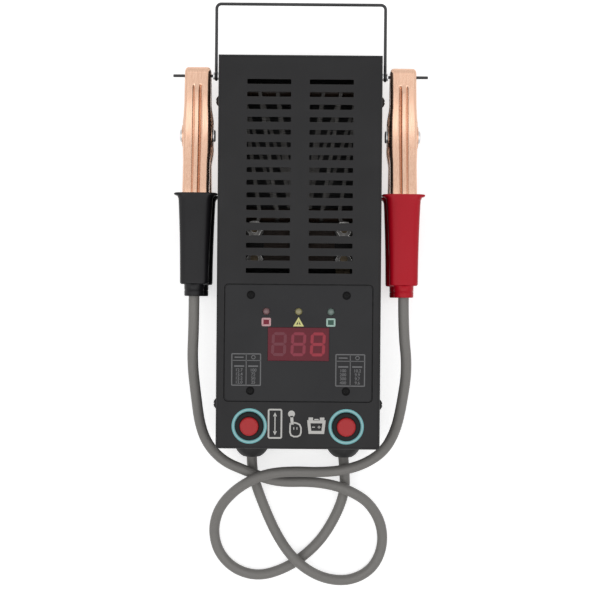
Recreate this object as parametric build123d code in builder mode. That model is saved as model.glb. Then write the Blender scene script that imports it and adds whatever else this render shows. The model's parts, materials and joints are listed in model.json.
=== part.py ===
"""Hand-held battery load tester with a carrying bail and two parked jaw clamps.

Millimetres. The tester lies on its back: +X to the right of the front panel, +Y towards the
carrying handle, +Z out of the front panel. The origin is the middle of the case's back face.
"""
from build123d import *
import os
from math import asin, atan2, cos, degrees, pi, radians, sin, tan

os.makedirs("parts", exist_ok=True)

# ---------------------------------------------------------------- driving dimensions
# Case
case_width = 110.0
case_height = 264.0
case_depth = 70.0
sheet = 1.2                # steel sheet of the case
bend_radius = 2.4          # outside radius of the front cover's folds
lip_depth = 12.0           # turned-in lips at the cover's top and bottom
fit_gap = 0.15             # play between the cover and the chassis
hole_gap = 0.1             # play round a screw, a shank or a barrel in its hole
flange_length = 38.0       # side flanges of the chassis, along Y
flange_depth = case_depth - 8.0   # how far they reach towards the front

# Vents
slot_length = 29.5
slot_width = 3.4
slot_corner = 0.7
slot_pitch = 8.43
slot_column_pitch = 41.8
first_slot_drop = 18.2     # top of the case to the middle of the first slot
last_slot_gap = 8.0        # least from the panel's top to the middle of the last slot

# Pressed-in panel
panel_width = 100.0
panel_height = 79.2
panel_corner = 3.0
panel_bottom = 31.4        # bottom of the case to the bottom of the panel
recess_depth = 1.0
recess_slope = 35.0        # degrees
overlay_thick = 0.4
overlay_gap = 0.3
panel_screw_x = 32.0
panel_screw_pitch_y = 64.1
display_width = 41.2
display_height = 22.5
display_drop = 40.3        # top of the panel to the middle of the display
lens_proud = 0.15
lens_rim = 2.0
lamp_pitch = 21.6
lamp_drop = 18.5           # top of the panel to the lamps
lamp_diameter = 5.0
lamp_proud = 1.0

# Screws
screw_shank = 3.0
panel_head = 5.6
panel_head_height = 1.7
side_head = 8.3
side_head_height = 2.6
side_shank = 3.4
side_screw_y = case_height / 2 - 29.0
side_screw_z = case_depth - 18.0
nut_height = 2.4

# Board
board_width = 92.0
board_height = 72.0
board_thick = 1.6
board_drop = 10.0          # recessed sheet to the board's top
standoff_diameter = 6.0

# Push buttons
button_x = 32.4
button_rise = 15.4         # bottom of the case to the buttons
barrel_diameter = 16.0
bezel_diameter = 19.0
bezel_height = 2.6
cap_diameter = 12.6
cap_proud = 4.8
cap_length = 9.0
cap_gap = 0.3
button_travel = 3.0
stem_diameter = 5.0

# Rod, bail and side fittings
rod_diameter = 2.0
rod_overhang = 8.4         # how far the rod sticks out past the clamps
rod_y = case_height / 2 - 9.1
mid_z = case_depth / 2     # height of the rod and of the clamps' middle plane
bail_wire = 2.1
bail_x = case_width / 2 + 3.6
bail_top_y = rod_y + 50.1
bail_corner = 3.2
eye_gap = 0.3              # play of the bail's eyes on the rod

# Clamps
clamp_gap = 7.0            # case side to the clamps' jaws
pivot_y = 81.3
jaw_width = 18.0
jaw_sheet = 1.2
jaw_bulge = 1.5            # how much wider the rear half is round the pivot
ear_radius = 7.5
rivet_diameter = 5.0
rivet_head = 8.5
rivet_head_height = 1.6
rib_width = 5.3
rib_height = 0.9
tooth_pitch = 3.0
tooth_depth = 1.0
sleeve_mouth_y = 40.4
sleeve_end_y = -22.0
mouth_wall = 2.8           # sleeve beside the jaw, at its mouth
mouth_depth = 15.5
mouth_rise = 14.2          # middle plane of the clamp to the middle of the sleeve's mouth
end_width = 19.0
end_depth = 13.0
end_rise = 22.0
guard_width = 3.4
guard_thick = 1.6
collar_wall = 3.05
collar_length = 8.0
clamp_wire = 1.8           # spring wire
coil_radius = 4.4
coil_turns = 3.25
leg_length = 20.0
leg_angle = 158.0          # degrees from +Y, in the clamp's side view

# Cables and glands
cable_diameter = 7.3
gland_x = 32.5
gland_z = 14.0
gland_length = 11.0
gland_diameter = 25.0
gland_hole = 16.0

# Load inside the case
rod_span = case_width - 10.0   # length of the ceramic rods
ceramic_radius = 4.6
ceramic_z = 45.0
upper_ceramic_drop = 20.0  # top of the case to the upper ceramic rod
load_rise = 21.4           # top of the panel to the load's own zero line
lower_ceramic_rise = 26.0  # that line to the lower ceramic rod
ribbon_width = 2.5
ribbon_thick = 0.6
ribbon_pitch = 12.0
ribbon_slant = 13.0
ribbon_runs = 3
inner_ribbon_x = 16.0      # top of the innermost run
stud_diameter = 5.0
stud_nut = 11.5
terminal_board_z = 34.0
terminal_board_thick = 4.0

# The clamps and the cables' routes are laid out beside a case of this size and follow the real one
layout_width = 110.0
layout_height = 264.0
layout_depth = 70.0
layout_cable = 7.3
layout_gland_y = -143.0
layout_cable_end_y = -30.0
run_share = 0.45           # share of a run that a bend may take

# ---------------------------------------------------------------- derived places
front_z = case_depth
inner_front_z = case_depth - sheet
recess_z = case_depth - recess_depth
recess_back_z = recess_z - sheet
chassis_half_width = case_width / 2 - sheet - fit_gap
chassis_half_height = case_height / 2 - sheet - fit_gap
chassis_depth = case_depth - bend_radius - fit_gap
panel_y = -case_height / 2 + panel_bottom + panel_height / 2
panel_top_y = panel_y + panel_height / 2
first_slot_y = case_height / 2 - first_slot_drop
slot_rows = int((first_slot_y - panel_top_y - last_slot_gap) / slot_pitch) + 1
slot_middle_y = first_slot_y - slot_pitch * (slot_rows - 1) / 2
clamp_x = case_width / 2 + clamp_gap + jaw_width / 2
clamp_shift = (case_height - layout_height) / 2
rod_half_length = clamp_x + jaw_width / 2 + rod_overhang
mouth_width = jaw_width + 2 * mouth_wall
collar_diameter = cable_diameter + 2 * collar_wall
gland_end_y = -case_height / 2 - gland_length
load_y = panel_top_y + load_rise
upper_ceramic_y = case_height / 2 - upper_ceramic_drop
lower_ceramic_y = load_y + lower_ceramic_rise
display_y = panel_top_y - display_drop
lamp_y = panel_top_y - lamp_drop
button_y = -case_height / 2 + button_rise
board_top_z = recess_back_z - board_drop
board_z = board_top_z - board_thick
panel_screw_places = [
    (x, panel_y + y)
    for x in (-panel_screw_x, panel_screw_x)
    for y in (-panel_screw_pitch_y / 2, panel_screw_pitch_y / 2)
]
cable_radius = cable_diameter / 2
sides = {"left": -1, "right": 1}


# ---------------------------------------------------------------- helpers
def save(piece, name):
    """Labels a finished piece and writes its STEP file."""
    piece.label = name
    export_step(piece, f"parts/{name}.step")


def dome_screw(plane, head_diameter, head_height, shank_diameter, shank_length):
    """A dome-headed cross-recess screw, seated on the plane."""
    head_radius = head_diameter / 2
    dome_radius = (head_radius**2 + head_height**2) / (2 * head_height)
    half_cap = asin(head_radius / dome_radius) / 2
    middle = (dome_radius * sin(half_cap), head_height - dome_radius * (1 - cos(half_cap)))
    lengthwise = Plane(origin=plane.origin, x_dir=plane.x_dir, z_dir=-plane.y_dir)
    with BuildPart() as screw:
        with BuildSketch(lengthwise):
            with BuildLine():
                Polyline((0, head_height), (0, -shank_length), (shank_diameter / 2, -shank_length),
                         (shank_diameter / 2, 0), (head_radius, 0))
                ThreePointArc((head_radius, 0), middle, (0, head_height))
            make_face()
        revolve(axis=Axis(plane.origin, plane.z_dir))
        with BuildSketch(plane.offset(head_height)):
            Rectangle(0.55 * head_diameter, 0.12 * head_diameter)
            Rectangle(0.12 * head_diameter, 0.55 * head_diameter)
        extrude(amount=-0.6 * head_height, mode=Mode.SUBTRACT)
    return screw.part


def round_tube(points, radius):
    """Sweeps a round lead along straight runs joined by arcs as large as the runs allow."""
    corners = [Vector(*point) for point in points]
    radii = []
    for before, here, after in zip(corners, corners[1:], corners[2:]):
        run_in = here - before
        run_out = after - here
        half_turn = radians(run_in.get_angle(run_out)) / 2
        radii.append(run_share * min(run_in.length, run_out.length) / tan(half_turn))
    with BuildPart() as tube:
        with BuildLine() as path:
            FilletPolyline(*points, radius=radii)
        with BuildSketch(Plane(origin=path.line @ 0, z_dir=path.line % 0)):
            Circle(radius)
        sweep()
    length = sum(edge.length for edge in path.line.edges())
    expected = pi * radius**2 * length
    print(f"  length {length:.1f}, tightest bend {min(radii):.1f},",
          f"volume {tube.part.volume:.0f} for {expected:.0f}")
    print("  bends", " ".join(f"{bend:.0f}" for bend in radii))
    return tube.part


# ---------------------------------------------------------------- case
with BuildPart() as front_cover:
    with BuildSketch():
        Rectangle(case_width, case_height)
    extrude(amount=case_depth)
    fillet(front_cover.faces().sort_by(Axis.Z)[-1].edges(), radius=bend_radius)
    offset(amount=-sheet, openings=front_cover.faces().sort_by(Axis.Z)[0])
    # short lips instead of full top and bottom walls
    with BuildSketch():
        with GridLocations(0, case_height, 1, 2):
            Rectangle(case_width - 2 * sheet, 2 * sheet)
    extrude(amount=case_depth - lip_depth, mode=Mode.SUBTRACT)
    # pressed-in floor for the panel overlay
    with BuildSketch(Plane.XY.offset(recess_back_z)):
        with Locations((0, panel_y)):
            RectangleRounded(panel_width + 2 * sheet, panel_height + 2 * sheet, panel_corner + sheet)
    extrude(amount=recess_depth)
    with BuildSketch(Plane.XY.offset(front_z)):
        with Locations((0, panel_y)):
            RectangleRounded(panel_width, panel_height, panel_corner)
    extrude(amount=-recess_depth, taper=recess_slope, mode=Mode.SUBTRACT)
    # vents, windows and holes through the front
    with BuildSketch(Plane.XY.offset(front_z)):
        with Locations((0, slot_middle_y)):
            with GridLocations(slot_column_pitch, slot_pitch, 2, slot_rows):
                RectangleRounded(slot_length, slot_width, slot_corner)
        with Locations((0, display_y)):
            Rectangle(display_width, display_height)
        with Locations((0, lamp_y)):
            with GridLocations(lamp_pitch, 0, 3, 1):
                Circle(lamp_diameter / 2 + hole_gap)
        with Locations(*panel_screw_places):
            Circle(screw_shank / 2 + hole_gap)
        with Locations((-button_x, button_y), (button_x, button_y)):
            Circle(barrel_diameter / 2 + hole_gap)
    extrude(amount=-(recess_depth + sheet), mode=Mode.SUBTRACT)
    # rod and side screws pass through both side walls
    with BuildSketch(Plane.YZ):
        with Locations((rod_y, mid_z)):
            Circle(rod_diameter / 2 + hole_gap)
        with Locations((-side_screw_y, side_screw_z), (side_screw_y, side_screw_z)):
            Circle(side_shank / 2 + hole_gap)
    extrude(amount=case_width, both=True, mode=Mode.SUBTRACT)

with BuildPart() as rear_chassis:
    with BuildSketch():
        Rectangle(2 * chassis_half_width, 2 * chassis_half_height)
    extrude(amount=sheet)
    # full-depth top and bottom walls
    with BuildSketch():
        with GridLocations(0, 2 * chassis_half_height - sheet, 1, 2):
            Rectangle(2 * chassis_half_width, sheet)
    extrude(amount=chassis_depth)
    # side flanges that take the side screws
    with BuildSketch():
        with GridLocations(2 * chassis_half_width - sheet, 2 * chassis_half_height - flange_length, 2, 2):
            Rectangle(sheet, flange_length)
    extrude(amount=flange_depth)
    with BuildSketch(Plane.YZ):
        with Locations((rod_y, mid_z)):
            Circle(rod_diameter / 2 + hole_gap)
        with Locations((-side_screw_y, side_screw_z), (side_screw_y, side_screw_z)):
            Circle(side_shank / 2 + hole_gap)
    extrude(amount=case_width, both=True, mode=Mode.SUBTRACT)
    with BuildSketch(Plane.XZ.offset(chassis_half_height)):
        with Locations((-gland_x, gland_z), (gland_x, gland_z)):
            Circle(gland_hole / 2 + hole_gap)
    extrude(amount=-sheet, mode=Mode.SUBTRACT)

with BuildPart() as side_screws:
    for side in sides.values():
        for y in (-side_screw_y, side_screw_y):
            seat = Plane(origin=(side * case_width / 2, y, side_screw_z), z_dir=(side, 0, 0))
            add(dome_screw(seat, side_head, side_head_height, side_shank, 6.0))

# ---------------------------------------------------------------- panel
with BuildPart() as panel_overlay:
    margin = recess_depth * tan(radians(recess_slope)) + overlay_gap
    with BuildSketch(Plane.XY.offset(recess_z)):
        with Locations((0, panel_y)):
            RectangleRounded(panel_width - 2 * margin, panel_height - 2 * margin, panel_corner)
        with Locations((0, display_y)):
            Rectangle(display_width, display_height, mode=Mode.SUBTRACT)
        with Locations((0, lamp_y)):
            with GridLocations(lamp_pitch, 0, 3, 1):
                Circle(lamp_diameter / 2 + hole_gap, mode=Mode.SUBTRACT)
        with Locations(*panel_screw_places):
            Circle(screw_shank / 2 + hole_gap, mode=Mode.SUBTRACT)
    extrude(amount=overlay_thick)

with BuildPart() as display_window:
    with BuildSketch(Plane.XY.offset(recess_back_z)):
        with Locations((0, display_y)):
            Rectangle(display_width - 2 * hole_gap, display_height - 2 * hole_gap)
    extrude(amount=sheet + overlay_thick + lens_proud)
    fillet(display_window.edges().group_by(Axis.Z)[-1], radius=0.3)
    with BuildSketch(Plane.XY.offset(recess_back_z)):
        with Locations((0, display_y)):
            Rectangle(display_width + 2 * lens_rim, display_height + 2 * lens_rim)
    extrude(amount=-1.0)

with BuildPart() as panel_screws:
    for x, y in panel_screw_places:
        seat = Plane(origin=(x, y, recess_z + overlay_thick))
        shank_length = seat.origin.Z - board_z + nut_height + 0.6
        add(dome_screw(seat, panel_head, panel_head_height, screw_shank, shank_length))

with BuildPart() as board_standoffs:
    with BuildSketch(Plane.XY.offset(board_top_z)):
        with Locations(*panel_screw_places):
            Circle(standoff_diameter / 2)
            Circle(screw_shank / 2 + hole_gap, mode=Mode.SUBTRACT)
    extrude(amount=board_drop)

with BuildPart() as board_nuts:
    with BuildSketch(Plane.XY.offset(board_z)):
        with Locations(*panel_screw_places):
            RegularPolygon(3.1, 6)
            Circle(screw_shank / 2 + hole_gap / 2, mode=Mode.SUBTRACT)
    extrude(amount=-nut_height)

with BuildPart() as main_board:
    with BuildSketch(Plane.XY.offset(board_z)):
        with Locations((0, panel_y)):
            Rectangle(board_width, board_height)
        with Locations(*panel_screw_places):
            Circle(screw_shank / 2 + hole_gap, mode=Mode.SUBTRACT)
    extrude(amount=board_thick)

module_width = 37.6
module_height = 19.0
module_depth = 8.0
with BuildPart() as display_module:
    with BuildSketch(Plane.XY.offset(board_top_z)):
        with Locations((0, display_y)):
            Rectangle(module_width, module_height)
    extrude(amount=module_depth)

with BuildPart() as board_components:
    with BuildSketch(Plane.XY.offset(board_top_z)):
        with Locations((-36, panel_y + 8), (36, panel_y + 2)):
            Rectangle(10, 7)                       # controller and driver chips
        with Locations((36, panel_y - 14)):
            Rectangle(8, 10)                       # connector
    extrude(amount=3.0)
    with BuildSketch(Plane.XY.offset(board_top_z)):
        with Locations((-37, panel_y - 8), (-37, panel_y - 19)):
            Circle(4.0)                            # electrolytic capacitors
    extrude(amount=9.0)
    with BuildSketch(Plane.XY.offset(board_z)):
        with Locations((-14, panel_y + 22), (14, panel_y + 22)):
            Rectangle(15, 12)                      # small relay and regulator
    extrude(amount=-11.0)

lamps = {"red_lamp": -1, "yellow_lamp": 0, "green_lamp": 1}
lamp_parts = {}
for lamp_name, place in lamps.items():
    lamp_x = place * lamp_pitch
    lamp_top_z = front_z + lamp_proud
    lamp_base_z = recess_back_z - 2.0
    with BuildPart() as lamp:
        with BuildSketch(Plane.XY.offset(lamp_base_z)):
            with Locations((lamp_x, lamp_y)):
                Circle(lamp_diameter / 2)
        extrude(amount=lamp_top_z - lamp_base_z)
        fillet(lamp.edges().group_by(Axis.Z)[-1], radius=lamp_diameter / 2 - 0.1)
        with BuildSketch(Plane.XY.offset(lamp_base_z)):
            with Locations((lamp_x, lamp_y)):
                Circle(lamp_diameter / 2 + 0.45)
        extrude(amount=1.0)
        with BuildSketch(Plane.XY.offset(lamp_base_z)):
            with Locations((lamp_x - 1.27, lamp_y), (lamp_x + 1.27, lamp_y)):
                Rectangle(0.6, 0.6)
        extrude(amount=-(lamp_base_z - board_top_z))
    lamp_parts[lamp_name] = lamp.part

# ---------------------------------------------------------------- push buttons
cap_top_z = front_z + cap_proud
cap_bottom_z = cap_top_z - cap_length
bore_floor_z = cap_bottom_z - button_travel - 5.0
housing_bottom_z = bore_floor_z - 12.0
stem_bottom_z = bore_floor_z - 1.5
blade_length = 8.0
switch_nut_height = 3.0
spring_wire = 0.7
spring_radius = 4.2
button_parts = {}
for side_name, side in sides.items():
    x = side * button_x
    with BuildPart() as housing:
        with BuildSketch(Plane.XY.offset(housing_bottom_z)):
            with Locations((x, button_y)):
                Circle(barrel_diameter / 2)
        extrude(amount=front_z - housing_bottom_z)
        with BuildSketch(Plane.XY.offset(front_z)):
            with Locations((x, button_y)):
                Circle(bezel_diameter / 2)
        extrude(amount=bezel_height)
        fillet(housing.edges().group_by(Axis.Z)[-1], radius=1.1)
        with BuildSketch(Plane.XY.offset(front_z + bezel_height)):
            with Locations((x, button_y)):
                Circle(cap_diameter / 2 + cap_gap)
        extrude(amount=-(front_z + bezel_height - bore_floor_z), mode=Mode.SUBTRACT)
        with BuildSketch(Plane.XY.offset(bore_floor_z)):
            with Locations((x, button_y)):
                Circle(stem_diameter / 2 + cap_gap)
        extrude(amount=-(1.5 + button_travel + 1.0), mode=Mode.SUBTRACT)
        with BuildSketch(Plane.XY.offset(housing_bottom_z)):
            with Locations((x, button_y)):
                with GridLocations(7.0, 0, 2, 1):
                    Rectangle(0.8, 4.8)
        extrude(amount=-blade_length)
    with BuildPart() as cap:
        with BuildSketch(Plane.XY.offset(cap_bottom_z)):
            with Locations((x, button_y)):
                Circle(cap_diameter / 2)
        extrude(amount=cap_length)
        fillet(cap.edges().group_by(Axis.Z)[-1], radius=1.6)
        with BuildSketch(Plane.XY.offset(cap_bottom_z)):
            with Locations((x, button_y)):
                Circle(stem_diameter / 2)
        extrude(amount=-(cap_bottom_z - stem_bottom_z))
    spring_length = cap_bottom_z - bore_floor_z - spring_wire
    with BuildPart() as spring:
        with BuildLine() as coil:
            Helix(pitch=spring_length / 4, height=spring_length, radius=spring_radius,
                  center=(x, button_y, bore_floor_z + spring_wire / 2))
        with BuildSketch(Plane(origin=coil.line @ 0, z_dir=coil.line % 0)):
            Circle(spring_wire / 2 - 0.01)
        sweep(is_frenet=True)
    button_parts[f"{side_name}_button_housing"] = housing.part
    button_parts[f"{side_name}_button_cap"] = cap.part
    button_parts[f"{side_name}_button_spring"] = spring.part

with BuildPart() as button_nuts:
    with BuildSketch(Plane.XY.offset(inner_front_z)):
        with Locations((-button_x, button_y), (button_x, button_y)):
            RegularPolygon(11.0, 6)
            Circle(barrel_diameter / 2 + hole_gap, mode=Mode.SUBTRACT)
    extrude(amount=-switch_nut_height)

# ---------------------------------------------------------------- rod and bail
with BuildPart() as clamp_rest_rod:
    with BuildSketch(Plane.YZ.offset(-rod_half_length)):
        with Locations((rod_y, mid_z)):
            Circle(rod_diameter / 2)
    extrude(amount=2 * rod_half_length)
    chamfer(clamp_rest_rod.edges().filter_by(GeomType.CIRCLE), length=0.3)

eye_radius = rod_diameter / 2 + eye_gap + bail_wire / 2
with BuildPart() as bail_handle:
    foot_y = rod_y + eye_radius
    with BuildLine() as bail_path:
        FilletPolyline((-bail_x, foot_y, mid_z), (-bail_x, bail_top_y, mid_z), (bail_x, bail_top_y, mid_z),
                       (bail_x, foot_y, mid_z), radius=bail_corner)
    with BuildSketch(Plane(origin=bail_path.line @ 0, z_dir=bail_path.line % 0)):
        Circle(bail_wire / 2)
    sweep()
    for x in (-bail_x, bail_x):
        with BuildSketch(Plane.XY.offset(mid_z)):
            with Locations((x, rod_y + eye_radius)):
                Circle(bail_wire / 2)
        revolve(axis=Axis((x, rod_y, mid_z), (1, 0, 0)))

# washers on the rod each side of the bail's eyes
washer_radius = 2.6
with BuildPart() as rod_washers:
    for side in sides.values():
        for start_x, end_x in ((case_width / 2, bail_x - bail_wire / 2 - 0.1),
                               (bail_x + bail_wire / 2 + 0.1, bail_x + bail_wire / 2 + 0.9)):
            with BuildSketch(Plane.YZ.offset(side * start_x)):
                with Locations((rod_y, mid_z)):
                    Circle(washer_radius)
                    Circle(rod_diameter / 2, mode=Mode.SUBTRACT)
            extrude(amount=side * (end_x - start_x))

# ---------------------------------------------------------------- clamps
# One half is drawn round the middle plane of a clamp: Y as in the case, Z away from the middle
# plane. The front half is placed as drawn, the rear half is mirrored.
tip_y = rod_y + 5.7 - clamp_shift
edge_rise = rod_diameter / 2 + 0.05
jaw_top_line = [(tip_y, edge_rise + 1.6), (tip_y - 1.2, edge_rise + 4.0), (tip_y - 4.4, edge_rise + 5.6),
                (104.0, 9.3), (pivot_y, 11.2), (66.0, 14.0), (44.0, 19.4)]
jaw_end_y = 37.6
web_end_rise = 20.6


def jaw_half(edge, bulge):
    """One pressed copper half: a channel with a bent tip, teeth, ears and a handle tang."""
    half_width = jaw_width / 2
    with BuildPart() as hollow:
        with BuildSketch(Plane.YZ):
            with BuildLine():
                inner_line = [(y - (jaw_sheet if y > tip_y - 5 else 0), z - jaw_sheet)
                              for y, z in jaw_top_line]
                Polyline(*inner_line, (jaw_end_y - 5, web_end_rise), (jaw_end_y - 5, -20),
                         (inner_line[0][0], -20), close=True)
            make_face()
        extrude(amount=20, both=True)
        with BuildSketch(Plane.XY.offset(-20)):
            with BuildLine():
                plan_outline(half_width - jaw_sheet, bulge)
            make_face()
        extrude(amount=60, mode=Mode.INTERSECT)
    with BuildPart() as half:
        with BuildSketch(Plane.YZ):
            with BuildLine():
                Polyline((tip_y, edge), *jaw_top_line, (jaw_end_y, web_end_rise), (jaw_end_y, 8.2),
                         (66.0, 3.2), (pivot_y - ear_radius, 2.4), (pivot_y + ear_radius, 1.6),
                         (96.0, edge), close=True)
            make_face()
            with Locations((pivot_y, 0)):
                Circle(ear_radius)
        extrude(amount=20, both=True)
        with BuildSketch(Plane.XY.offset(-20)):
            with BuildLine():
                plan_outline(half_width, bulge)
            make_face()
        extrude(amount=60, mode=Mode.INTERSECT)
        add(hollow.part, mode=Mode.SUBTRACT)
        # teeth along both side edges, clear of the rod
        with BuildSketch(Plane.YZ):
            with BuildLine():
                Polyline((0, -1), (tooth_pitch, -1), (tooth_pitch, 0), (tooth_pitch / 2, tooth_depth), (0, 0),
                         close=True)
            make_face()
        tooth_gap = extrude(amount=20, both=True, mode=Mode.PRIVATE)
        for tooth in range(6):
            add(tooth_gap.moved(Location((0, 99.5 + tooth * tooth_pitch, edge))), mode=Mode.SUBTRACT)
        # raised rib down the middle of the web, pointed at its upper end
        with BuildSketch(Plane.YZ):
            with BuildLine():
                rib_low = [(113.0, 7.4), (104.0, 8.6), (pivot_y, 10.5), (66.0, 13.3), (44.0, 18.7),
                           (jaw_end_y, 20.0)]
                rib_high = [(y, z + 0.7 + rib_height) for y, z in reversed(rib_low)]
                Polyline(*rib_low, *rib_high, close=True)
            make_face()
        extrude(amount=rib_width / 2, both=True)
        # tang that carries the sleeve
        with BuildSketch(Plane.YZ):
            with BuildLine():
                Polyline((44.0, 19.4), (-8.0, 25.4), (-8.0, 24.2), (44.0, 18.2), close=True)
            make_face()
        extrude(amount=5.0, both=True)
        with BuildSketch(Plane.YZ):
            with Locations((pivot_y, 0)):
                Circle(rivet_diameter / 2 + hole_gap)
        extrude(amount=20, both=True, mode=Mode.SUBTRACT)
    return half.part


def plan_outline(half_width, bulge):
    """Outline of a jaw half seen from the front, wider round the pivot by the bulge."""
    wide = half_width + bulge
    right = [(half_width, jaw_end_y - 8), (half_width, 62.0), (wide, 71.0), (wide, 91.6),
             (half_width, 100.0), (half_width, tip_y - 3.0), (half_width - 2.4, tip_y)]
    left = [(-x, y) for x, y in reversed(right)]
    Polyline(*right, *left, close=True)


with BuildPart() as sleeve:
    with BuildSketch(Plane.XZ.offset(-sleeve_mouth_y)):
        with Locations((0, mouth_rise)):
            RectangleRounded(mouth_width, mouth_depth, 6.5)
    with BuildSketch(Plane.XZ.offset(-sleeve_end_y)):
        with Locations((0, end_rise)):
            RectangleRounded(end_width, end_depth, 6.0)
    loft()
    # finger guard round the mouth
    with BuildSketch(Plane.XZ.offset(-sleeve_mouth_y)):
        with Locations((0, mouth_rise + guard_width / 4)):
            RectangleRounded(mouth_width + 2 * guard_width, mouth_depth + guard_width / 2, 7.0)
    extrude(amount=guard_thick)
    with BuildSketch(Plane.XZ.offset(-sleeve_end_y)):
        with Locations((0, end_rise)):
            Circle(collar_diameter / 2)
    extrude(amount=collar_length)
    # pocket for the tang and the cable end, then the mouth for the channel
    with BuildSketch(Plane.YZ):
        with BuildLine():
            Polyline((sleeve_mouth_y - 2, 8.6), (sleeve_mouth_y - 2, 20.8), (-14.0, 26.2), (-14.0, 17.5),
                     close=True)
        make_face()
    extrude(amount=5.4, both=True, mode=Mode.SUBTRACT)
    with BuildSketch(Plane.YZ):
        with BuildLine():
            Polyline((sleeve_mouth_y + 1, 7.2), (sleeve_mouth_y + 1, 21.7), (jaw_end_y - 0.3, 21.7),
                     (jaw_end_y - 0.3, 7.2), close=True)
        make_face()
    extrude(amount=jaw_width / 2 + hole_gap, both=True, mode=Mode.SUBTRACT)
    with BuildSketch(Plane.XZ.offset(-sleeve_end_y + collar_length)):
        with Locations((0, end_rise)):
            Circle(cable_radius + hole_gap)
    extrude(amount=-(collar_length + 10.0), mode=Mode.SUBTRACT)

front_jaw = jaw_half(edge_rise, 0.0)
rear_jaw = jaw_half(edge_rise + 0.25, jaw_bulge)

with BuildPart() as lead_end:
    with BuildSketch(Plane.XZ.offset(-sleeve_end_y + collar_length)):
        with Locations((0, end_rise)):
            Circle(cable_radius)
    extrude(amount=-(collar_length + 12.0))
    with BuildSketch(Plane.XZ.offset(-sleeve_end_y - 12.0)):
        with Locations((0, end_rise - 1.0)):
            Rectangle(7.0, 1.2)
    extrude(amount=-12.0)


def spring_piece(turns):
    """A few turns round the rivet along X and a straight leg that lies against a handle."""
    pitch = clamp_wire + 0.15
    with BuildPart() as piece:
        with BuildLine():
            turn_line = Helix(pitch=pitch, height=pitch * turns, radius=coil_radius,
                              direction=(1, 0, 0), lefthand=True)
            Line(turn_line @ 0, (turn_line @ 0) - leg_length * (turn_line % 0))
        with BuildSketch(Plane(origin=turn_line @ 0, z_dir=turn_line % 0)):
            Circle(clamp_wire / 2)
        sweep(is_frenet=True)
    leg = -(turn_line % 0)
    return piece.part.rotate(Axis.X, leg_angle - degrees(atan2(leg.Z, leg.Y)))


def rivet_pin():
    """Pivot rivet along X with a head at each end."""
    half_length = jaw_width / 2 + jaw_bulge + 0.15
    with BuildPart() as pin:
        with BuildSketch(Plane.YZ):
            with Locations((pivot_y, 0)):
                Circle(rivet_diameter / 2)
        extrude(amount=half_length, both=True)
        for side in sides.values():
            with BuildSketch(Plane.YZ.offset(side * half_length)):
                with Locations((pivot_y, 0)):
                    Circle(rivet_head / 2)
            extrude(amount=side * rivet_head_height)
        fillet(pin.edges().group_by(Axis.X)[-1] + pin.edges().group_by(Axis.X)[0], radius=0.9)
    return pin.part


pin = rivet_pin()
# the arm is the last turn and the rear leg, the same piece turned to the other end of the coil
coil = spring_piece(coil_turns).moved(Location((-5.0, pivot_y, 0)))
arm = spring_piece(1).rotate(Axis.Y, 180).moved(Location((5.3, pivot_y, 0)))

clamp_parts = {}
for side_name, side in sides.items():
    place = Location((side * clamp_x, clamp_shift, mid_z))
    for piece_name, piece in (("front_jaw", front_jaw), ("front_sleeve", sleeve.part), ("rivet", pin),
                              ("spring", coil), ("spring_arm", arm), ("lead_end", lead_end.part)):
        clamp_parts[f"{side_name}_{piece_name}"] = piece.moved(place)
    for piece_name, piece in (("rear_jaw", rear_jaw), ("rear_sleeve", sleeve.part)):
        clamp_parts[f"{side_name}_{piece_name}"] = mirror(piece, about=Plane.XY).moved(place)

# ---------------------------------------------------------------- glands and cables
wall_y = -chassis_half_height
gland_parts = {}
for side_name, side in sides.items():
    with BuildPart() as gland:
        with BuildSketch(Plane.XY.offset(gland_z)):
            with BuildLine():
                neck = gland_hole / 2
                rim = gland_diameter / 2
                Polyline((cable_radius + hole_gap, gland_end_y), (cable_radius + hole_gap, wall_y + 4.0),
                         (neck + 2.0, wall_y + 4.0), (neck + 2.0, wall_y + sheet), (neck, wall_y + sheet),
                         (neck, wall_y), (rim, wall_y), (rim, wall_y - 2.5))
                ThreePointArc((rim, wall_y - 2.5), (rim - 2.6, gland_end_y + 3.2),
                              (cable_radius + 2.4, gland_end_y))
                Line((cable_radius + 2.4, gland_end_y), (cable_radius + hole_gap, gland_end_y))
            make_face()
        revolve(axis=Axis((0, 0, gland_z), (0, 1, 0)))
    gland_parts[f"{side_name}_cable_gland"] = gland.part.moved(Location((side * gland_x, 0, 0)))

cable_end_y = sleeve_end_y - collar_length + clamp_shift
cable_end_z = mid_z + end_rise


def laid(x, y, z):
    """A point of a cable's layout, moved to suit this case, this clamp height and this cable."""
    climb = min(1.0, max(0.0, (y - layout_gland_y) / (layout_cable_end_y - layout_gland_y)))
    lift = (mid_z - layout_depth / 2) * climb + z * (cable_diameter / layout_cable - 1) * (1 - climb)
    return (x * case_width / layout_width, y + clamp_shift * (2 * climb - 1), z + lift)


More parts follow.
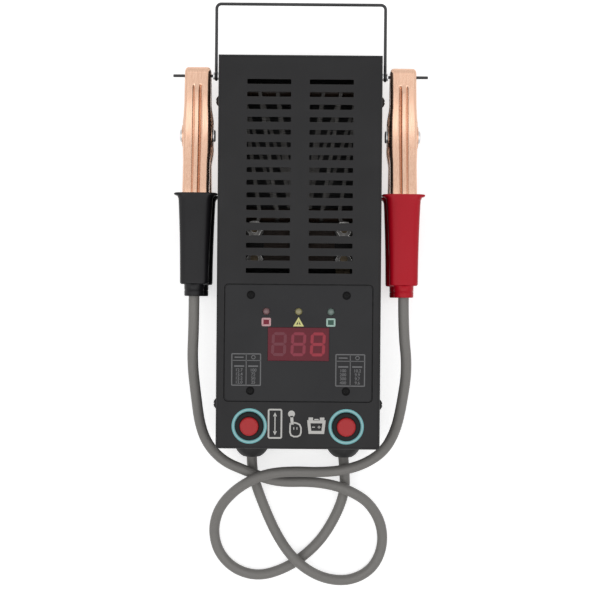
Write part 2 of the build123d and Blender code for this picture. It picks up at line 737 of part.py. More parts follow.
left_layout = [
    (-29.5, -168, 10), (-24, -183, 5.5), (-15.5, -199, 6.5), (-6, -212.5, 12.5), (7, -225, 12.5),
    (22.5, -233.5, 6.5), (39.5, -234.5, 3.8), (55, -226.5, 3.8), (63.5, -210, 4.5), (62, -190.5, 8.5),
    (52, -174, 15), (40.5, -166.5, 20), (27, -162, 20.5), (9, -160.3, 18), (-9, -160.8, 19),
    (-22, -158, 22.9), (-36.5, -152.3, 22.9), (-51.5, -146, 24.5), (-62.5, -134.5, 28), (-68, -120, 33),
    (-70.2, -100, 41), (-72.5, -75, 49.5),
]
right_layout = [
    (33.5, -167, 10.5), (29, -184, 5), (18.5, -202.5, 3.8), (5.5, -215.5, 3.8), (-9, -226.5, 3.8),
    (-27, -232.5, 3.8), (-45, -228, 3.8), (-58, -215.5, 4), (-62.5, -197.5, 7), (-58, -180, 14),
    (-48, -167, 23), (-35, -158, 30.5), (-21, -153, 32), (-3, -151.8, 29), (14, -152.8, 26),
    (31, -151.8, 24), (47, -147, 24.5), (60.5, -137.5, 28), (68, -122.5, 34), (71.5, -104, 41.5),
    (74.5, -78, 50),
]
left_cable_route = [
    (-gland_x, gland_end_y, gland_z), (-gland_x, gland_end_y - 12.0, gland_z),
    *[laid(*point) for point in left_layout],
    (-clamp_x, cable_end_y - 21.0, cable_end_z), (-clamp_x, cable_end_y, cable_end_z),
]
right_cable_route = [
    (gland_x, gland_end_y, gland_z), (gland_x, gland_end_y - 11.0, gland_z),
    *[laid(*point) for point in right_layout],
    (clamp_x, cable_end_y - 22.0, cable_end_z), (clamp_x, cable_end_y, cable_end_z),
]
print("left cable")
left_cable = round_tube(left_cable_route, cable_radius)
print("right cable")
right_cable = round_tube(right_cable_route, cable_radius)

# ---------------------------------------------------------------- load inside the case
bend_inside = ceramic_radius + 0.1
ribbon_front_z = ceramic_z + bend_inside
ribbon_back_z = ceramic_z - bend_inside - ribbon_thick
terminal_top_z = terminal_board_z + terminal_board_thick
outer_stud = (30.5, load_y + 16.0)
centre_stud = (0.0, load_y + 9.0)
shunt_stud = (30.5, load_y - 4.0)


def ribbon_run(low, high, z):
    """A flat straight run of ribbon between two points given as (x, y)."""
    half = ribbon_width / 2
    with BuildPart() as run:
        with BuildSketch(Plane.XY.offset(z)):
            with BuildLine():
                Polyline((low[0] - half, low[1]), (low[0] + half, low[1]),
                         (high[0] + half, high[1]), (high[0] - half, high[1]), close=True)
            make_face()
        extrude(amount=ribbon_thick)
    return run.part


def ribbon_bend(x, y, outward):
    """The half turn of ribbon over a ceramic rod, above it or below it."""
    with BuildPart() as bend:
        with BuildSketch(Plane.YZ.offset(x - ribbon_width / 2)):
            with Locations((y, ceramic_z)):
                Circle(bend_inside + ribbon_thick)
                Circle(bend_inside, mode=Mode.SUBTRACT)
            with Locations((y + outward * 10, ceramic_z)):
                Rectangle(20, 20, mode=Mode.INTERSECT)
        extrude(amount=ribbon_width)
    return bend.part


def load_element(side):
    """Nichrome ribbon wound over both ceramic rods, from its outer stud to the middle one."""
    with BuildPart() as element:
        for run in range(ribbon_runs):
            top_x = side * (inner_ribbon_x + ribbon_pitch * (ribbon_runs - 1 - run))
            low_x = top_x - side * ribbon_slant
            top = (top_x, upper_ceramic_y)
            add(ribbon_run((low_x, lower_ceramic_y), top, ribbon_front_z))
            add(ribbon_bend(top_x, upper_ceramic_y, 1))
            if run < ribbon_runs - 1:
                next_low_x = low_x - side * ribbon_pitch
                add(ribbon_run((next_low_x, lower_ceramic_y), top, ribbon_back_z))
                add(ribbon_bend(next_low_x, lower_ceramic_y, -1))
            else:
                add(ribbon_run((side * 4.6, centre_stud[1] - 3.0), top, ribbon_back_z))
        first_low_x = side * (inner_ribbon_x + ribbon_pitch * (ribbon_runs - 1) - ribbon_slant)
        stud = (side * outer_stud[0], outer_stud[1])
        add(ribbon_run(stud, (first_low_x, lower_ceramic_y), ribbon_front_z))
        with BuildSketch(Plane.XY.offset(ribbon_front_z)):
            with Locations(stud):
                Circle(6.2)
        extrude(amount=ribbon_thick)
        with BuildSketch(Plane.XY.offset(ribbon_front_z)):
            with Locations(stud):
                Circle(stud_diameter / 2 + hole_gap)
        extrude(amount=ribbon_thick, mode=Mode.SUBTRACT)
    return element.part


left_element = load_element(-1)
right_element = load_element(1)

with BuildPart() as ceramic_rods:
    with BuildSketch(Plane.YZ.offset(-rod_span / 2)):
        with Locations((upper_ceramic_y, ceramic_z), (lower_ceramic_y, ceramic_z)):
            Circle(ceramic_radius)
    extrude(amount=rod_span)

# posts from the back sheet with a saddle under each end of the ceramic rods
with BuildPart() as rod_posts:
    with BuildSketch(Plane.XY.offset(sheet)):
        for y in (upper_ceramic_y, lower_ceramic_y):
            with Locations((-rod_span / 2 + 3, y), (rod_span / 2 - 3, y)):
                Rectangle(5.0, 12.0)
    extrude(amount=ceramic_z - sheet)
    with BuildSketch(Plane.YZ.offset(-rod_span)):
        with Locations((upper_ceramic_y, ceramic_z), (lower_ceramic_y, ceramic_z)):
            Circle(ceramic_radius)
    extrude(amount=2 * rod_span, mode=Mode.SUBTRACT)

stud_places = [(-outer_stud[0], outer_stud[1]), outer_stud, centre_stud, shunt_stud,
               (-shunt_stud[0], shunt_stud[1])]
with BuildPart() as terminal_board:
    with BuildSketch(Plane.XY.offset(terminal_board_z)):
        with Locations((0, load_y + 4.9)):
            Rectangle(92.0, 29.8)
        with Locations(*stud_places):
            Circle(stud_diameter / 2 + hole_gap, mode=Mode.SUBTRACT)
    extrude(amount=terminal_board_thick)
    with BuildSketch(Plane.XY.offset(sheet)):
        with Locations((0, load_y)):
            with GridLocations(84.0, 0, 2, 1):
                Rectangle(6.0, 14.0)
    extrude(amount=terminal_board_z - sheet)

stud_top_z = ribbon_front_z + 7.0
stud_tail = 6.0
with BuildPart() as terminal_studs:
    for x, y in stud_places:
        with BuildSketch(Plane.XY.offset(terminal_board_z - stud_tail)):
            with Locations((x, y)):
                Circle(stud_diameter / 2)
        extrude(amount=stud_top_z - terminal_board_z + stud_tail)

bar_thick = ribbon_back_z - terminal_top_z
with BuildPart() as terminal_nuts:
    for x, y in stud_places:
        nut_spans = [(terminal_board_z - 4.0, terminal_board_z)]
        if y == outer_stud[1]:
            nut_spans.append((ribbon_back_z, ribbon_front_z))
            nut_spans.append((ribbon_front_z + ribbon_thick, ribbon_front_z + ribbon_thick + 4.0))
        else:
            nut_spans.append((ribbon_back_z + ribbon_thick, ribbon_back_z + ribbon_thick + 4.0))
        for low_z, high_z in nut_spans:
            with BuildSketch(Plane.XY.offset(low_z)):
                with Locations((x, y)):
                    RegularPolygon(stud_nut / 2, 6)
                    Circle(stud_diameter / 2, mode=Mode.SUBTRACT)
            extrude(amount=high_z - low_z)

# one bar joins the two studs of each side, a short one lies under the middle nut
with BuildPart() as terminal_bars:
    with BuildSketch(Plane.XY.offset(terminal_top_z)):
        with Locations((-outer_stud[0], load_y + 6.0), (outer_stud[0], load_y + 6.0)):
            Rectangle(12.0, 32.0)
        with Locations(centre_stud):
            Rectangle(14.0, 14.0)
        with Locations(*stud_places):
            Circle(stud_diameter / 2 + hole_gap, mode=Mode.SUBTRACT)
    extrude(amount=bar_thick)

relay_y = load_y - 48.0
relay_stud_x = 9.0
relay_width = 34.0
relay_height = 44.0
bracket_thick = 1.5
relay_depth = 30.0
with BuildPart() as relay_bracket:
    with BuildSketch(Plane.XY.offset(sheet)):
        with Locations((0, relay_y)):
            Rectangle(relay_width + 28.0, 18.0)
            with GridLocations(relay_width + 16.0, 0, 2, 1):
                Circle(2.2, mode=Mode.SUBTRACT)
    extrude(amount=bracket_thick)

relay_base_z = sheet + bracket_thick
with BuildPart() as load_relay:
    with BuildSketch(Plane.XY.offset(relay_base_z)):
        with Locations((0, relay_y)):
            RectangleRounded(relay_width, relay_height, 3.0)
    extrude(amount=relay_depth)
    fillet(load_relay.edges().group_by(Axis.Z)[-1], radius=1.5)
    with BuildSketch(Plane.XY.offset(relay_base_z + relay_depth)):
        with Locations((0, relay_y)):
            with GridLocations(2 * relay_stud_x, 0, 2, 1):
                Circle(2.5)
    extrude(amount=8.0)

with BuildPart() as bracket_screws:
    for x in (-(relay_width + 16.0) / 2, (relay_width + 16.0) / 2):
        seat = Plane(origin=(x, relay_y, relay_base_z))
        add(dome_screw(seat, 7.0, 2.4, 4.0, bracket_thick))

lug_thick = 1.5
relay_lug_z = relay_base_z + relay_depth + 4.5
board_lug_z = terminal_board_z - stud_tail + 0.3
print("left inner lead")
left_inner_lead = round_tube(
    [(-gland_x, gland_end_y, gland_z), (-gland_x, load_y - 112, gland_z), (-27, load_y - 92, 24),
     (-14, load_y - 77, 36.5), (-relay_stud_x, load_y - 60, relay_lug_z + lug_thick / 2)], cable_radius)
print("right inner lead")
right_inner_lead = round_tube(
    [(gland_x, gland_end_y, gland_z), (gland_x, load_y - 108, gland_z), (31.5, load_y - 78, 19),
     (30.5, load_y - 48, 26), (shunt_stud[0], load_y - 20, board_lug_z + lug_thick / 2)], cable_radius)

# a flat lug on each inner lead, over the relay's stud and over the terminal board's lower stud
with BuildPart() as lead_lugs:
    for stud_x, stud_y, end_y, lug_z, stud_size in (
            (-relay_stud_x, relay_y, load_y - 60.0, relay_lug_z, 5.0),
            (shunt_stud[0], shunt_stud[1], load_y - 20.0, board_lug_z, stud_diameter)):
        with BuildSketch(Plane.XY.offset(lug_z)):
            with Locations((stud_x, (stud_y + 5.0 + end_y) / 2)):
                RectangleRounded(10.0, stud_y + 5.0 - end_y, 2.0)
            with Locations((stud_x, stud_y)):
                Circle(stud_size / 2 + hole_gap, mode=Mode.SUBTRACT)
        extrude(amount=lug_thick)

# ---------------------------------------------------------------- write every piece
built = {
    "front_cover": front_cover, "rear_chassis": rear_chassis, "side_screws": side_screws,
    "panel_overlay": panel_overlay, "display_window": display_window, "panel_screws": panel_screws,
    "board_standoffs": board_standoffs, "board_nuts": board_nuts, "main_board": main_board,
    "display_module": display_module, "board_components": board_components, "button_nuts": button_nuts,
    "clamp_rest_rod": clamp_rest_rod, "bail_handle": bail_handle, "rod_washers": rod_washers,
    "ceramic_rods": ceramic_rods, "rod_posts": rod_posts, "terminal_board": terminal_board,
    "terminal_studs": terminal_studs, "terminal_nuts": terminal_nuts, "terminal_bars": terminal_bars,
    "lead_lugs": lead_lugs, "relay_bracket": relay_bracket, "load_relay": load_relay,
    "bracket_screws": bracket_screws,
}
finished = {name: builder.part for name, builder in built.items()}
finished.update(lamp_parts)
finished.update(button_parts)
finished.update(clamp_parts)
finished.update(gland_parts)
finished["left_cable"] = left_cable
finished["right_cable"] = right_cable
finished["left_inner_lead"] = left_inner_lead
finished["right_inner_lead"] = right_inner_lead
finished["left_load_element"] = left_element
finished["right_load_element"] = right_element
for name, piece in finished.items():
    save(piece, name)
print(len(finished), "pieces written")
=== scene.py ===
# %% [markdown]
# # Battery load tester, lying on its back
#
# A battery load tester is a steel box with heating ribbons inside. Two big copper clamps go on
# the battery's posts, a push button sends the current through the ribbons, and the meter
# shows how far the voltage falls. The box, the clamps and every screw come in as a fixed
# frame, at their real size in metres. This lesson gives them finishes, adds the printing,
# the soft cables and the clamps' finer pressed shapes, and sets a plain studio round them.

# %% Load the frame
import json
import math

import bmesh
import bpy
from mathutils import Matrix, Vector


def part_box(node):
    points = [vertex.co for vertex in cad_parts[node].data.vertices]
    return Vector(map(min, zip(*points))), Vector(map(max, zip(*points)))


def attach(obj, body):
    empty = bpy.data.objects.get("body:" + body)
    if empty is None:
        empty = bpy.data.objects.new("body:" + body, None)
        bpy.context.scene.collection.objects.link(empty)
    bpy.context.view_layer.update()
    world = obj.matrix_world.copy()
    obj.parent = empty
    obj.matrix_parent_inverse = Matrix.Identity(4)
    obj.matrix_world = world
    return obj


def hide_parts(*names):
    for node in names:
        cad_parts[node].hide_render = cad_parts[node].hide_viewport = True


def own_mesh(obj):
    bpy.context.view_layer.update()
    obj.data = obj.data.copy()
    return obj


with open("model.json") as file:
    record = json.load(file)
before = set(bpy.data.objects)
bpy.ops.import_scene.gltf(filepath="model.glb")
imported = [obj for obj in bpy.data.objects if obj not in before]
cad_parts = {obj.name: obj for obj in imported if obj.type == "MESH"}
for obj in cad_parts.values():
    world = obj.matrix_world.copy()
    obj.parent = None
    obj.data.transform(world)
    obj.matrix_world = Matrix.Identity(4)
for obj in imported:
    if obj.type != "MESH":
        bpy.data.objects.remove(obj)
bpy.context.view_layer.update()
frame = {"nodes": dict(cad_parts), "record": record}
nodes = frame["nodes"]
sides = {"left": -1, "right": 1}
MM = 0.001

# %% [markdown]
# ## The camera
#
# The tester is seen straight from above, from a little under a metre away. The lens is long,
# so that the sides of the box hardly show. The object sits a hair off square, which a tiny
# roll of the camera gives.

# %% Camera


def put_in_scene(name, data):
    """Makes an object from its data and links it to the scene."""
    thing = bpy.data.objects.new(name, data)
    bpy.context.scene.collection.objects.link(thing)
    return thing


camera_place = (0.84 * MM, -32.1 * MM, 0.970)
camera_roll = math.radians(0.48)
lens_length, sensor_width = 80.8, 36.0

camera_data = bpy.data.cameras.new("studio_camera")
camera_data.lens = lens_length
camera_data.sensor_width = sensor_width
camera = put_in_scene("studio_camera", camera_data)
camera.location = camera_place
camera.rotation_euler = (0.0, 0.0, camera_roll)
bpy.context.scene.camera = camera
bpy.context.scene.view_settings.view_transform = "Standard"
print("camera", camera.location[:], "lens", lens_length)

# %% [markdown]
# ## Small helpers for nodes and meshes
#
# A node tree is quicker to read when each node is made and wired in one line. `wire` joins a
# value or another node's output to a socket, and `new_node` makes a node with its settings.
# `to_data` ends the drawing of a mesh, and `add_object` makes a piece of it.

# %% Node and mesh helpers


def new_node(tree, kind, **settings):
    """Adds a shader node and sets its properties."""
    node = tree.nodes.new(kind)
    for name, value in settings.items():
        setattr(node, name, value)
    return node


def wire(tree, source, target):
    """Links an output to an input, or sets the input to a plain value."""
    if isinstance(source, bpy.types.NodeSocket):
        tree.links.new(source, target)
    else:
        target.default_value = source


def maths(tree, operation, first, second=None, third=None, clamp=False):
    """A Math node whose inputs are values or other outputs."""
    node = new_node(tree, "ShaderNodeMath", operation=operation, use_clamp=clamp)
    for place, value in enumerate((first, second, third)):
        if value is not None:
            wire(tree, value, node.inputs[place])
    return node.outputs[0]


def to_data(name, mesh):
    """Turns a drawn mesh into mesh data for an object."""
    data = bpy.data.meshes.new(name)
    mesh.to_mesh(data)
    mesh.free()
    return data


def add_object(name, data, body="root"):
    """Makes a piece that rides on a body."""
    piece = put_in_scene(name, data)
    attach(piece, body)
    return piece


print("helpers ready")

# %% [markdown]
# ## The cables
#
# Each clamp hangs on about 44 cm of thick grey rubber cable. It comes out of a gland at the
# foot of the box, lies on the table in one wide loop and climbs into the clamp's sleeve. A
# NURBS spline is the right curve for it, because it bends evenly like rubber between few
# points, and the bevel gives it its round thickness.

# %% Cable routes
cable_diameter = 7.3 * MM
left_length, right_length = 0.442, 0.443
left_route = [
    (-32.5, -143, 14), (-32, -155, 14), (-28, -168, 10), (-22.5, -183, 5.5),
    (-15, -199, 6.5), (-5.5, -212.5, 12.5), (7, -224, 12.5), (22.5, -232, 6.5),
    (39, -233, 3.8), (54, -225, 3.8), (61.5, -209.5, 4.5), (60.5, -191.5, 8.5),
    (51.5, -176, 15), (40.5, -168, 20), (27, -162.5, 20.5), (9, -160.3, 18),
    (-9, -160.8, 19), (-22, -158, 22.9), (-36.5, -152.3, 22.9), (-51.5, -146, 24.5),
    (-62.5, -134.5, 28), (-68, -120, 33), (-70.2, -100, 41), (-72.5, -75, 49.5),
    (-71, -51, 57), (-71, -30, 57),
]
right_route = [
    (32.5, -143, 14), (33.5, -154, 14), (34, -167, 10.5), (29, -184, 5),
    (18.5, -202.5, 3.8), (5.5, -215.5, 3.8), (-9, -225, 3.8), (-27, -230.5, 3.8),
    (-44, -226, 3.8), (-56, -214, 4), (-60, -197.5, 7), (-56, -181, 14),
    (-46, -168, 23), (-33.5, -158.5, 30.5), (-20, -153, 32), (-3, -151.8, 29),
    (14, -152.8, 26), (31, -151.8, 24), (47, -147, 24.5), (60.5, -137.5, 28),
    (68, -122.5, 34), (71.5, -104, 41.5), (74.5, -78, 50), (71, -52, 57),
    (71, -30, 57),
]
print("routes:", len(left_route), "and", len(right_route), "points, in millimetres")

# %% Cables from splines


def make_cable(name, route, real_length, node):
    """A smooth round cable along a route in millimetres, which stands for the CAD cable."""
    curve = bpy.data.curves.new(name, "CURVE")
    curve.dimensions = "3D"
    spline = curve.splines.new("NURBS")
    spline.points.add(len(route) - 1)
    for point, (x, y, z) in zip(spline.points, route):
        point.co = (x * MM, y * MM, z * MM, 1.0)
        point.radius = cable_diameter / 2
    spline.order_u = 3
    spline.use_endpoint_u = True
    spline.resolution_u = 10
    curve.bevel_depth = 1.0
    curve.bevel_resolution = 7
    curve.use_fill_caps = True
    cable = add_object(name, curve)
    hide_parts(node)
    print(name, "made with", len(route), "route points,", real_length, "m long")
    return cable


cables = [make_cable("left_cable_rubber", left_route, left_length, "left_cable"),
          make_cable("right_cable_rubber", right_route, right_length, "right_cable")]

# %% [markdown]
# ## Effects that several finishes share
#
# Paint, rubber and plastic all have a fine grain, faint smudges from handling and paler,
# smoother edges where hands rub them. Each effect is a node group with named sockets, built
# once, so that every finish can use it with its own size and strength.

# %% Group helpers


def new_group(name, inputs, outputs):
    """An empty node group with float inputs (name, default) and outputs (name, kind)."""
    group = bpy.data.node_groups.new(name, "ShaderNodeTree")
    for label, default in inputs:
        socket = group.interface.new_socket(name=label, in_out="INPUT",
                                            socket_type="NodeSocketFloat")
        socket.default_value = default
    for label, kind in outputs:
        group.interface.new_socket(name=label, in_out="OUTPUT", socket_type=kind)
    source = group.nodes.new("NodeGroupInput")
    target = group.nodes.new("NodeGroupOutput")
    return group, source.outputs, target.inputs


def place_vector(tree):
    """The place on the object in metres, which stays with the piece when it moves."""
    return new_node(tree, "ShaderNodeTexCoord").outputs["Object"]


def noise_value(tree, place, scale, detail, distortion=0.0):
    """A noise from 0 to 1 at a place, with so many grains per metre."""
    noise = new_node(tree, "ShaderNodeTexNoise")
    wire(tree, place, noise.inputs["Vector"])
    wire(tree, scale, noise.inputs["Scale"])
    noise.inputs["Detail"].default_value = detail
    noise.inputs["Distortion"].default_value = distortion
    return noise.outputs["Fac"]


print("group helpers ready")

# %% Group: fine grain


def build_grain():
    """Orange peel, moulding texture or sheet grain: a noise and a finer one on it."""
    group, given, result = new_group(
        "surface_grain",
        [("Grains per metre", 1500.0), ("Fine share", 0.3)],
        [("Height", "NodeSocketFloat"), ("Shade", "NodeSocketFloat")],
    )
    place = place_vector(group)
    coarse = noise_value(group, place, given["Grains per metre"], 2.0)
    finer = maths(group, "MULTIPLY", given["Grains per metre"], 3.7)
    fine = noise_value(group, place, finer, 1.0)
    wire(group, maths(group, "MULTIPLY_ADD", fine, given["Fine share"], coarse), result["Height"])
    wire(group, coarse, result["Shade"])
    return group


grain_group = build_grain()
print("group", grain_group.name)

# %% Group: handling smudges


def build_smudges():
    """Large soft patches between a low and a high value, for roughness."""
    group, given, result = new_group(
        "handling_smudges",
        [("Patches per metre", 28.0), ("Low", 0.35), ("High", 0.55)],
        [("Value", "NodeSocketFloat")],
    )
    noise = noise_value(group, place_vector(group), given["Patches per metre"], 4.0, 0.6)
    spread = maths(group, "MULTIPLY_ADD", noise, 2.0, -0.5, clamp=True)
    gap = maths(group, "SUBTRACT", given["High"], given["Low"])
    wire(group, maths(group, "MULTIPLY_ADD", spread, gap, given["Low"]), result["Value"])
    return group


smudge_group = build_smudges()
print("group", smudge_group.name)

# %% Group: rubbed edges and painted glints


def build_wear_and_glint_edges():
    """A mask that is white on outside edges, broken up by noise."""
    group, given, result = new_group(
        "rubbed_and_glint_edges",
        [("Reach", 0.0005), ("Sharpness", 9.0), ("Breaks per metre", 180.0)],
        [("Mask", "NodeSocketFloat")],
    )
    bevel = new_node(group, "ShaderNodeBevel", samples=4)
    wire(group, given["Reach"], bevel.inputs["Radius"])
    surface = new_node(group, "ShaderNodeNewGeometry")
    turn = new_node(group, "ShaderNodeVectorMath", operation="DOT_PRODUCT")
    wire(group, bevel.outputs["Normal"], turn.inputs[0])
    wire(group, surface.outputs["Normal"], turn.inputs[1])
    bent = maths(group, "SUBTRACT", 1.0, turn.outputs["Value"])
    raw = maths(group, "MULTIPLY", bent, given["Sharpness"], clamp=True)
    noise = noise_value(group, place_vector(group), given["Breaks per metre"], 3.0)
    broken = maths(group, "MULTIPLY_ADD", noise, 2.4, -0.7, clamp=True)
    wire(group, maths(group, "MULTIPLY", raw, broken), result["Mask"])
    return group


edge_group = build_wear_and_glint_edges()
print("group", edge_group.name)

# %% Group: drawing lines


def build_draw_lines():
    """Fine streaks along Y, as rolling and pressing leave them on sheet metal and wire."""
    group, given, result = new_group(
        "drawing_lines",
        [("Lines per metre", 2200.0), ("Length share", 0.03)],
        [("Height", "NodeSocketFloat"), ("Shade", "NodeSocketFloat")],
    )
    axes = new_node(group, "ShaderNodeSeparateXYZ")
    wire(group, place_vector(group), axes.inputs[0])
    joined = new_node(group, "ShaderNodeCombineXYZ")
    wire(group, axes.outputs["X"], joined.inputs["X"])
    wire(group, maths(group, "MULTIPLY", axes.outputs["Y"], given["Length share"]),
         joined.inputs["Y"])
    wire(group, axes.outputs["Z"], joined.inputs["Z"])
    noise = noise_value(group, joined.outputs[0], given["Lines per metre"], 3.0)
    wire(group, noise, result["Height"])
    wire(group, maths(group, "MULTIPLY_ADD", noise, 2.0, -0.5, clamp=True), result["Shade"])
    return group


line_group = build_draw_lines()
print("group", line_group.name)

# %% [markdown]
# ## Finishes
#
# Every finish starts the same way: a base colour with a slightly different tone in patches,
# a roughness that wanders, and a bump. `make_finish` builds that from the shared groups. Only
# an ink that glows gets something added afterwards.

# %% Colour and group helpers


def use_group(tree, group, **values):
    """Places a node group and sets its inputs by name, with _ for a space."""
    node = new_node(tree, "ShaderNodeGroup", node_tree=group)
    for name, value in values.items():
        wire(tree, value, node.inputs[name.replace("_", " ")])
    return node


def mix_colour(tree, share, first, second):
    """The first colour where share is 0 and the second where it is 1."""
    node = new_node(tree, "ShaderNodeMix", data_type="RGBA")
    wire(tree, share, node.inputs["Factor"])
    wire(tree, first, node.inputs["A"])
    wire(tree, second, node.inputs["B"])
    return node.outputs["Result"]


def solid(red, green, blue):
    """A colour with full alpha, as colour sockets want it."""
    return (red, green, blue, 1.0)


print("colour helpers ready")

# %% Finish builder
worn_roughness = -0.12


def make_finish(name, colour, tone, rough, metal=0.0, grains=1500.0, relief=0.02,
                worn=None, wear_reach=0.0005, lines=False, specular=0.5, coat=(0.0, 0.03)):
    """A finish in two tones with a wandering roughness, a bump and, if asked, edges of another
    colour: rubbed wear, and on the nuts painted glints.
    """
    material = bpy.data.materials.new(name)
    material.use_nodes = True
    tree = material.node_tree
    shader = tree.nodes["Principled BSDF"]
    smudges = use_group(tree, smudge_group, Low=rough[0], High=rough[1])
    if lines:
        grain = use_group(tree, line_group, Lines_per_metre=grains)
    else:
        grain = use_group(tree, grain_group, Grains_per_metre=grains)
    base = mix_colour(tree, grain.outputs["Shade"], solid(*colour), solid(*tone))
    roughness = smudges.outputs["Value"]
    # Edge colour: rubbed wear on most finishes, painted glints on the nuts.
    if worn:
        edges = use_group(tree, edge_group, Reach=wear_reach)
        base = mix_colour(tree, edges.outputs["Mask"], base, solid(*worn))
        roughness = maths(tree, "MULTIPLY_ADD", edges.outputs["Mask"], worn_roughness,
                          roughness, clamp=True)
    wire(tree, base, shader.inputs["Base Color"])
    wire(tree, roughness, shader.inputs["Roughness"])
    shader.inputs["Metallic"].default_value = metal
    bump = new_node(tree, "ShaderNodeBump")
    bump.inputs["Strength"].default_value = 1.0
    bump.inputs["Distance"].default_value = relief * MM
    wire(tree, grain.outputs["Height"], bump.inputs["Height"])
    wire(tree, bump.outputs["Normal"], shader.inputs["Normal"])
    shader.inputs["Specular IOR Level"].default_value = specular
    shader.inputs["Coat Weight"].default_value, shader.inputs["Coat Roughness"].default_value = coat
    return material


finishes = {}


def add_finish(slot, name, *looks, **settings):
    """Makes a finish and files it under one of the record's slots or a name of its own."""
    finishes[slot] = make_finish(name, *looks, **settings)


print("finish builder ready")

# %% [markdown]
# ## Paint, film and blackened steel
#
# The box is sheet steel with a charcoal powder coat. Powder melts into a satin skin with a
# very fine orange peel, and it rubs a little paler along the folds. The panel film is a
# matt printed plastic of nearly the same grey.

# %% Painted and blackened finishes
add_finish("case_coat", "charcoal_powder_coat", (0.0092, 0.0090, 0.0100),
    (0.0140, 0.0137, 0.0146), (0.46, 0.6), grains=1700, relief=0.05, worn=(0.034, 0.033, 0.032),
    wear_reach=0.0007, specular=0.24)
add_finish("overlay_film", "matt_panel_film", (0.0095, 0.0095, 0.0108), (0.0135, 0.0135, 0.0150),
    (0.42, 0.54), grains=3800, relief=0.012, specular=0.24)
add_finish("black_screws", "blackened_screws", (0.0022, 0.0022, 0.0026), (0.0050, 0.0048, 0.0050),
    (0.4, 0.55), metal=0.1, grains=2600, relief=0.01, worn=(0.03, 0.03, 0.03), wear_reach=0.0002,
    specular=0.14)
print("painted finishes:", len(finishes))

# %% [markdown]
# ## Metals
#
# The jaws are pressed from steel and plated with copper, so they are bright and peach
# coloured, with faint lines along the strip they were cut from. The rod and the handle are
# drawn wire, dark from their oil-black finish. Zinc plate is bright. Nuts, studs and lugs
# beside the ribbons are made nearly black as painted shade for the dark inside of the box,
# and the nuts get pale edges and patches as painted glints.

# %% Metal finishes
add_finish("copper", "copper_plate", (0.69, 0.425, 0.30), (0.79, 0.525, 0.39), (0.2, 0.32),
    metal=1.0, grains=1500, relief=0.003, lines=True)
add_finish("zinc_steel", "zinc_plate", (0.55, 0.55, 0.56), (0.66, 0.66, 0.66), (0.24, 0.4),
    metal=1.0, grains=1600, relief=0.008)
add_finish("spring_steel", "spring_wire", (0.42, 0.42, 0.43), (0.56, 0.56, 0.56), (0.2, 0.32),
    metal=1.0, grains=2600, relief=0.006, lines=True)
add_finish("black_wire", "blackened_wire", (0.022, 0.022, 0.024), (0.04, 0.04, 0.042),
    (0.3, 0.44), metal=0.4, grains=2400, relief=0.006, worn=(0.12, 0.12, 0.12), wear_reach=0.0003)
add_finish("nichrome", "heated_ribbon", (0.060, 0.058, 0.056), (0.10, 0.096, 0.092), (0.42, 0.6),
    metal=0.8, grains=900, relief=0.01, lines=True)
# Painted shade and painted glints: a nearly black body for the dark inside of the box, with pale
# patches and pale edges that glint.
add_finish("nut_painted_shade_glints", "painted_shade_and_glint_nut", (0.014, 0.013, 0.012), (0.24, 0.235, 0.23),
    (0.25, 0.5), metal=0.9, grains=420, relief=0.02, worn=(0.95, 0.94, 0.92), wear_reach=0.0008)
# Painted shade: nearly black brass for the dark inside of the box.
add_finish("brass_painted_shade", "painted_shade_brass", (0.020, 0.015, 0.010), (0.14, 0.11, 0.07),
    (0.35, 0.6), metal=0.85, grains=520, relief=0.02)
print("metals ready:", sorted(finishes))

# %% [markdown]
# ## Rubber and moulded plastic
#
# The sleeves are soft vinyl with a satin shine, the cable is grey rubber with a faint
# mottle, and the caps are hard, smooth plastic. A thin coat on the shader gives the vinyl
# its soft streak of light.

# %% Rubber and plastic finishes
vinyl = {"specular": 0.22, "coat": (0.02, 0.2)}
add_finish("black_sleeve", "black_vinyl", (0.0055, 0.0052, 0.0064), (0.0095, 0.0092, 0.0105),
    (0.34, 0.46), grains=1400, relief=0.03, worn=(0.03, 0.03, 0.033), **vinyl)
add_finish("red_sleeve", "red_vinyl", (0.43, 0.0012, 0.0115), (0.50, 0.0022, 0.0155),
    (0.34, 0.46), grains=1400, relief=0.03, worn=(0.56, 0.03, 0.06), **vinyl)
add_finish("grey_cable", "grey_cable_rubber", (0.185, 0.178, 0.168), (0.225, 0.217, 0.206),
    (0.42, 0.58), grains=1100, relief=0.02, specular=0.35)
add_finish("black_rubber", "gland_rubber", (0.012, 0.012, 0.0125), (0.021, 0.021, 0.021),
    (0.55, 0.7), grains=1500, relief=0.03)
add_finish("black_bezel", "bezel_plastic", (0.0035, 0.0045, 0.005), (0.0065, 0.0085, 0.0092),
    (0.4, 0.52), grains=2600, relief=0.01, specular=0.16)
add_finish("red_cap", "red_button_plastic", (0.37, 0.012, 0.016), (0.45, 0.018, 0.022),
    (0.3, 0.44), grains=2200, relief=0.012, worn=(0.56, 0.06, 0.07), wear_reach=0.0004,
    specular=0.3)
add_finish("relay_case", "relay_plastic", (0.009, 0.009, 0.011), (0.015, 0.015, 0.017),
    (0.3, 0.45), grains=2600, relief=0.012)
add_finish("board_parts", "component_plastic", (0.008, 0.008, 0.009), (0.02, 0.02, 0.021),
    (0.3, 0.5), grains=2600, relief=0.012)
add_finish("phenolic", "brown_laminate", (0.016, 0.009, 0.006), (0.028, 0.016, 0.010),
    (0.45, 0.62), grains=1900, relief=0.02, lines=True, specular=0.2)
add_finish("ceramic", "brown_glazed_ceramic", (0.020, 0.012, 0.008), (0.032, 0.020, 0.014),
    (0.22, 0.36), grains=500, relief=0.03)
add_finish("circuit_board", "solder_mask", (0.012, 0.075, 0.030), (0.018, 0.10, 0.042),
    (0.24, 0.38), grains=900, relief=0.02)
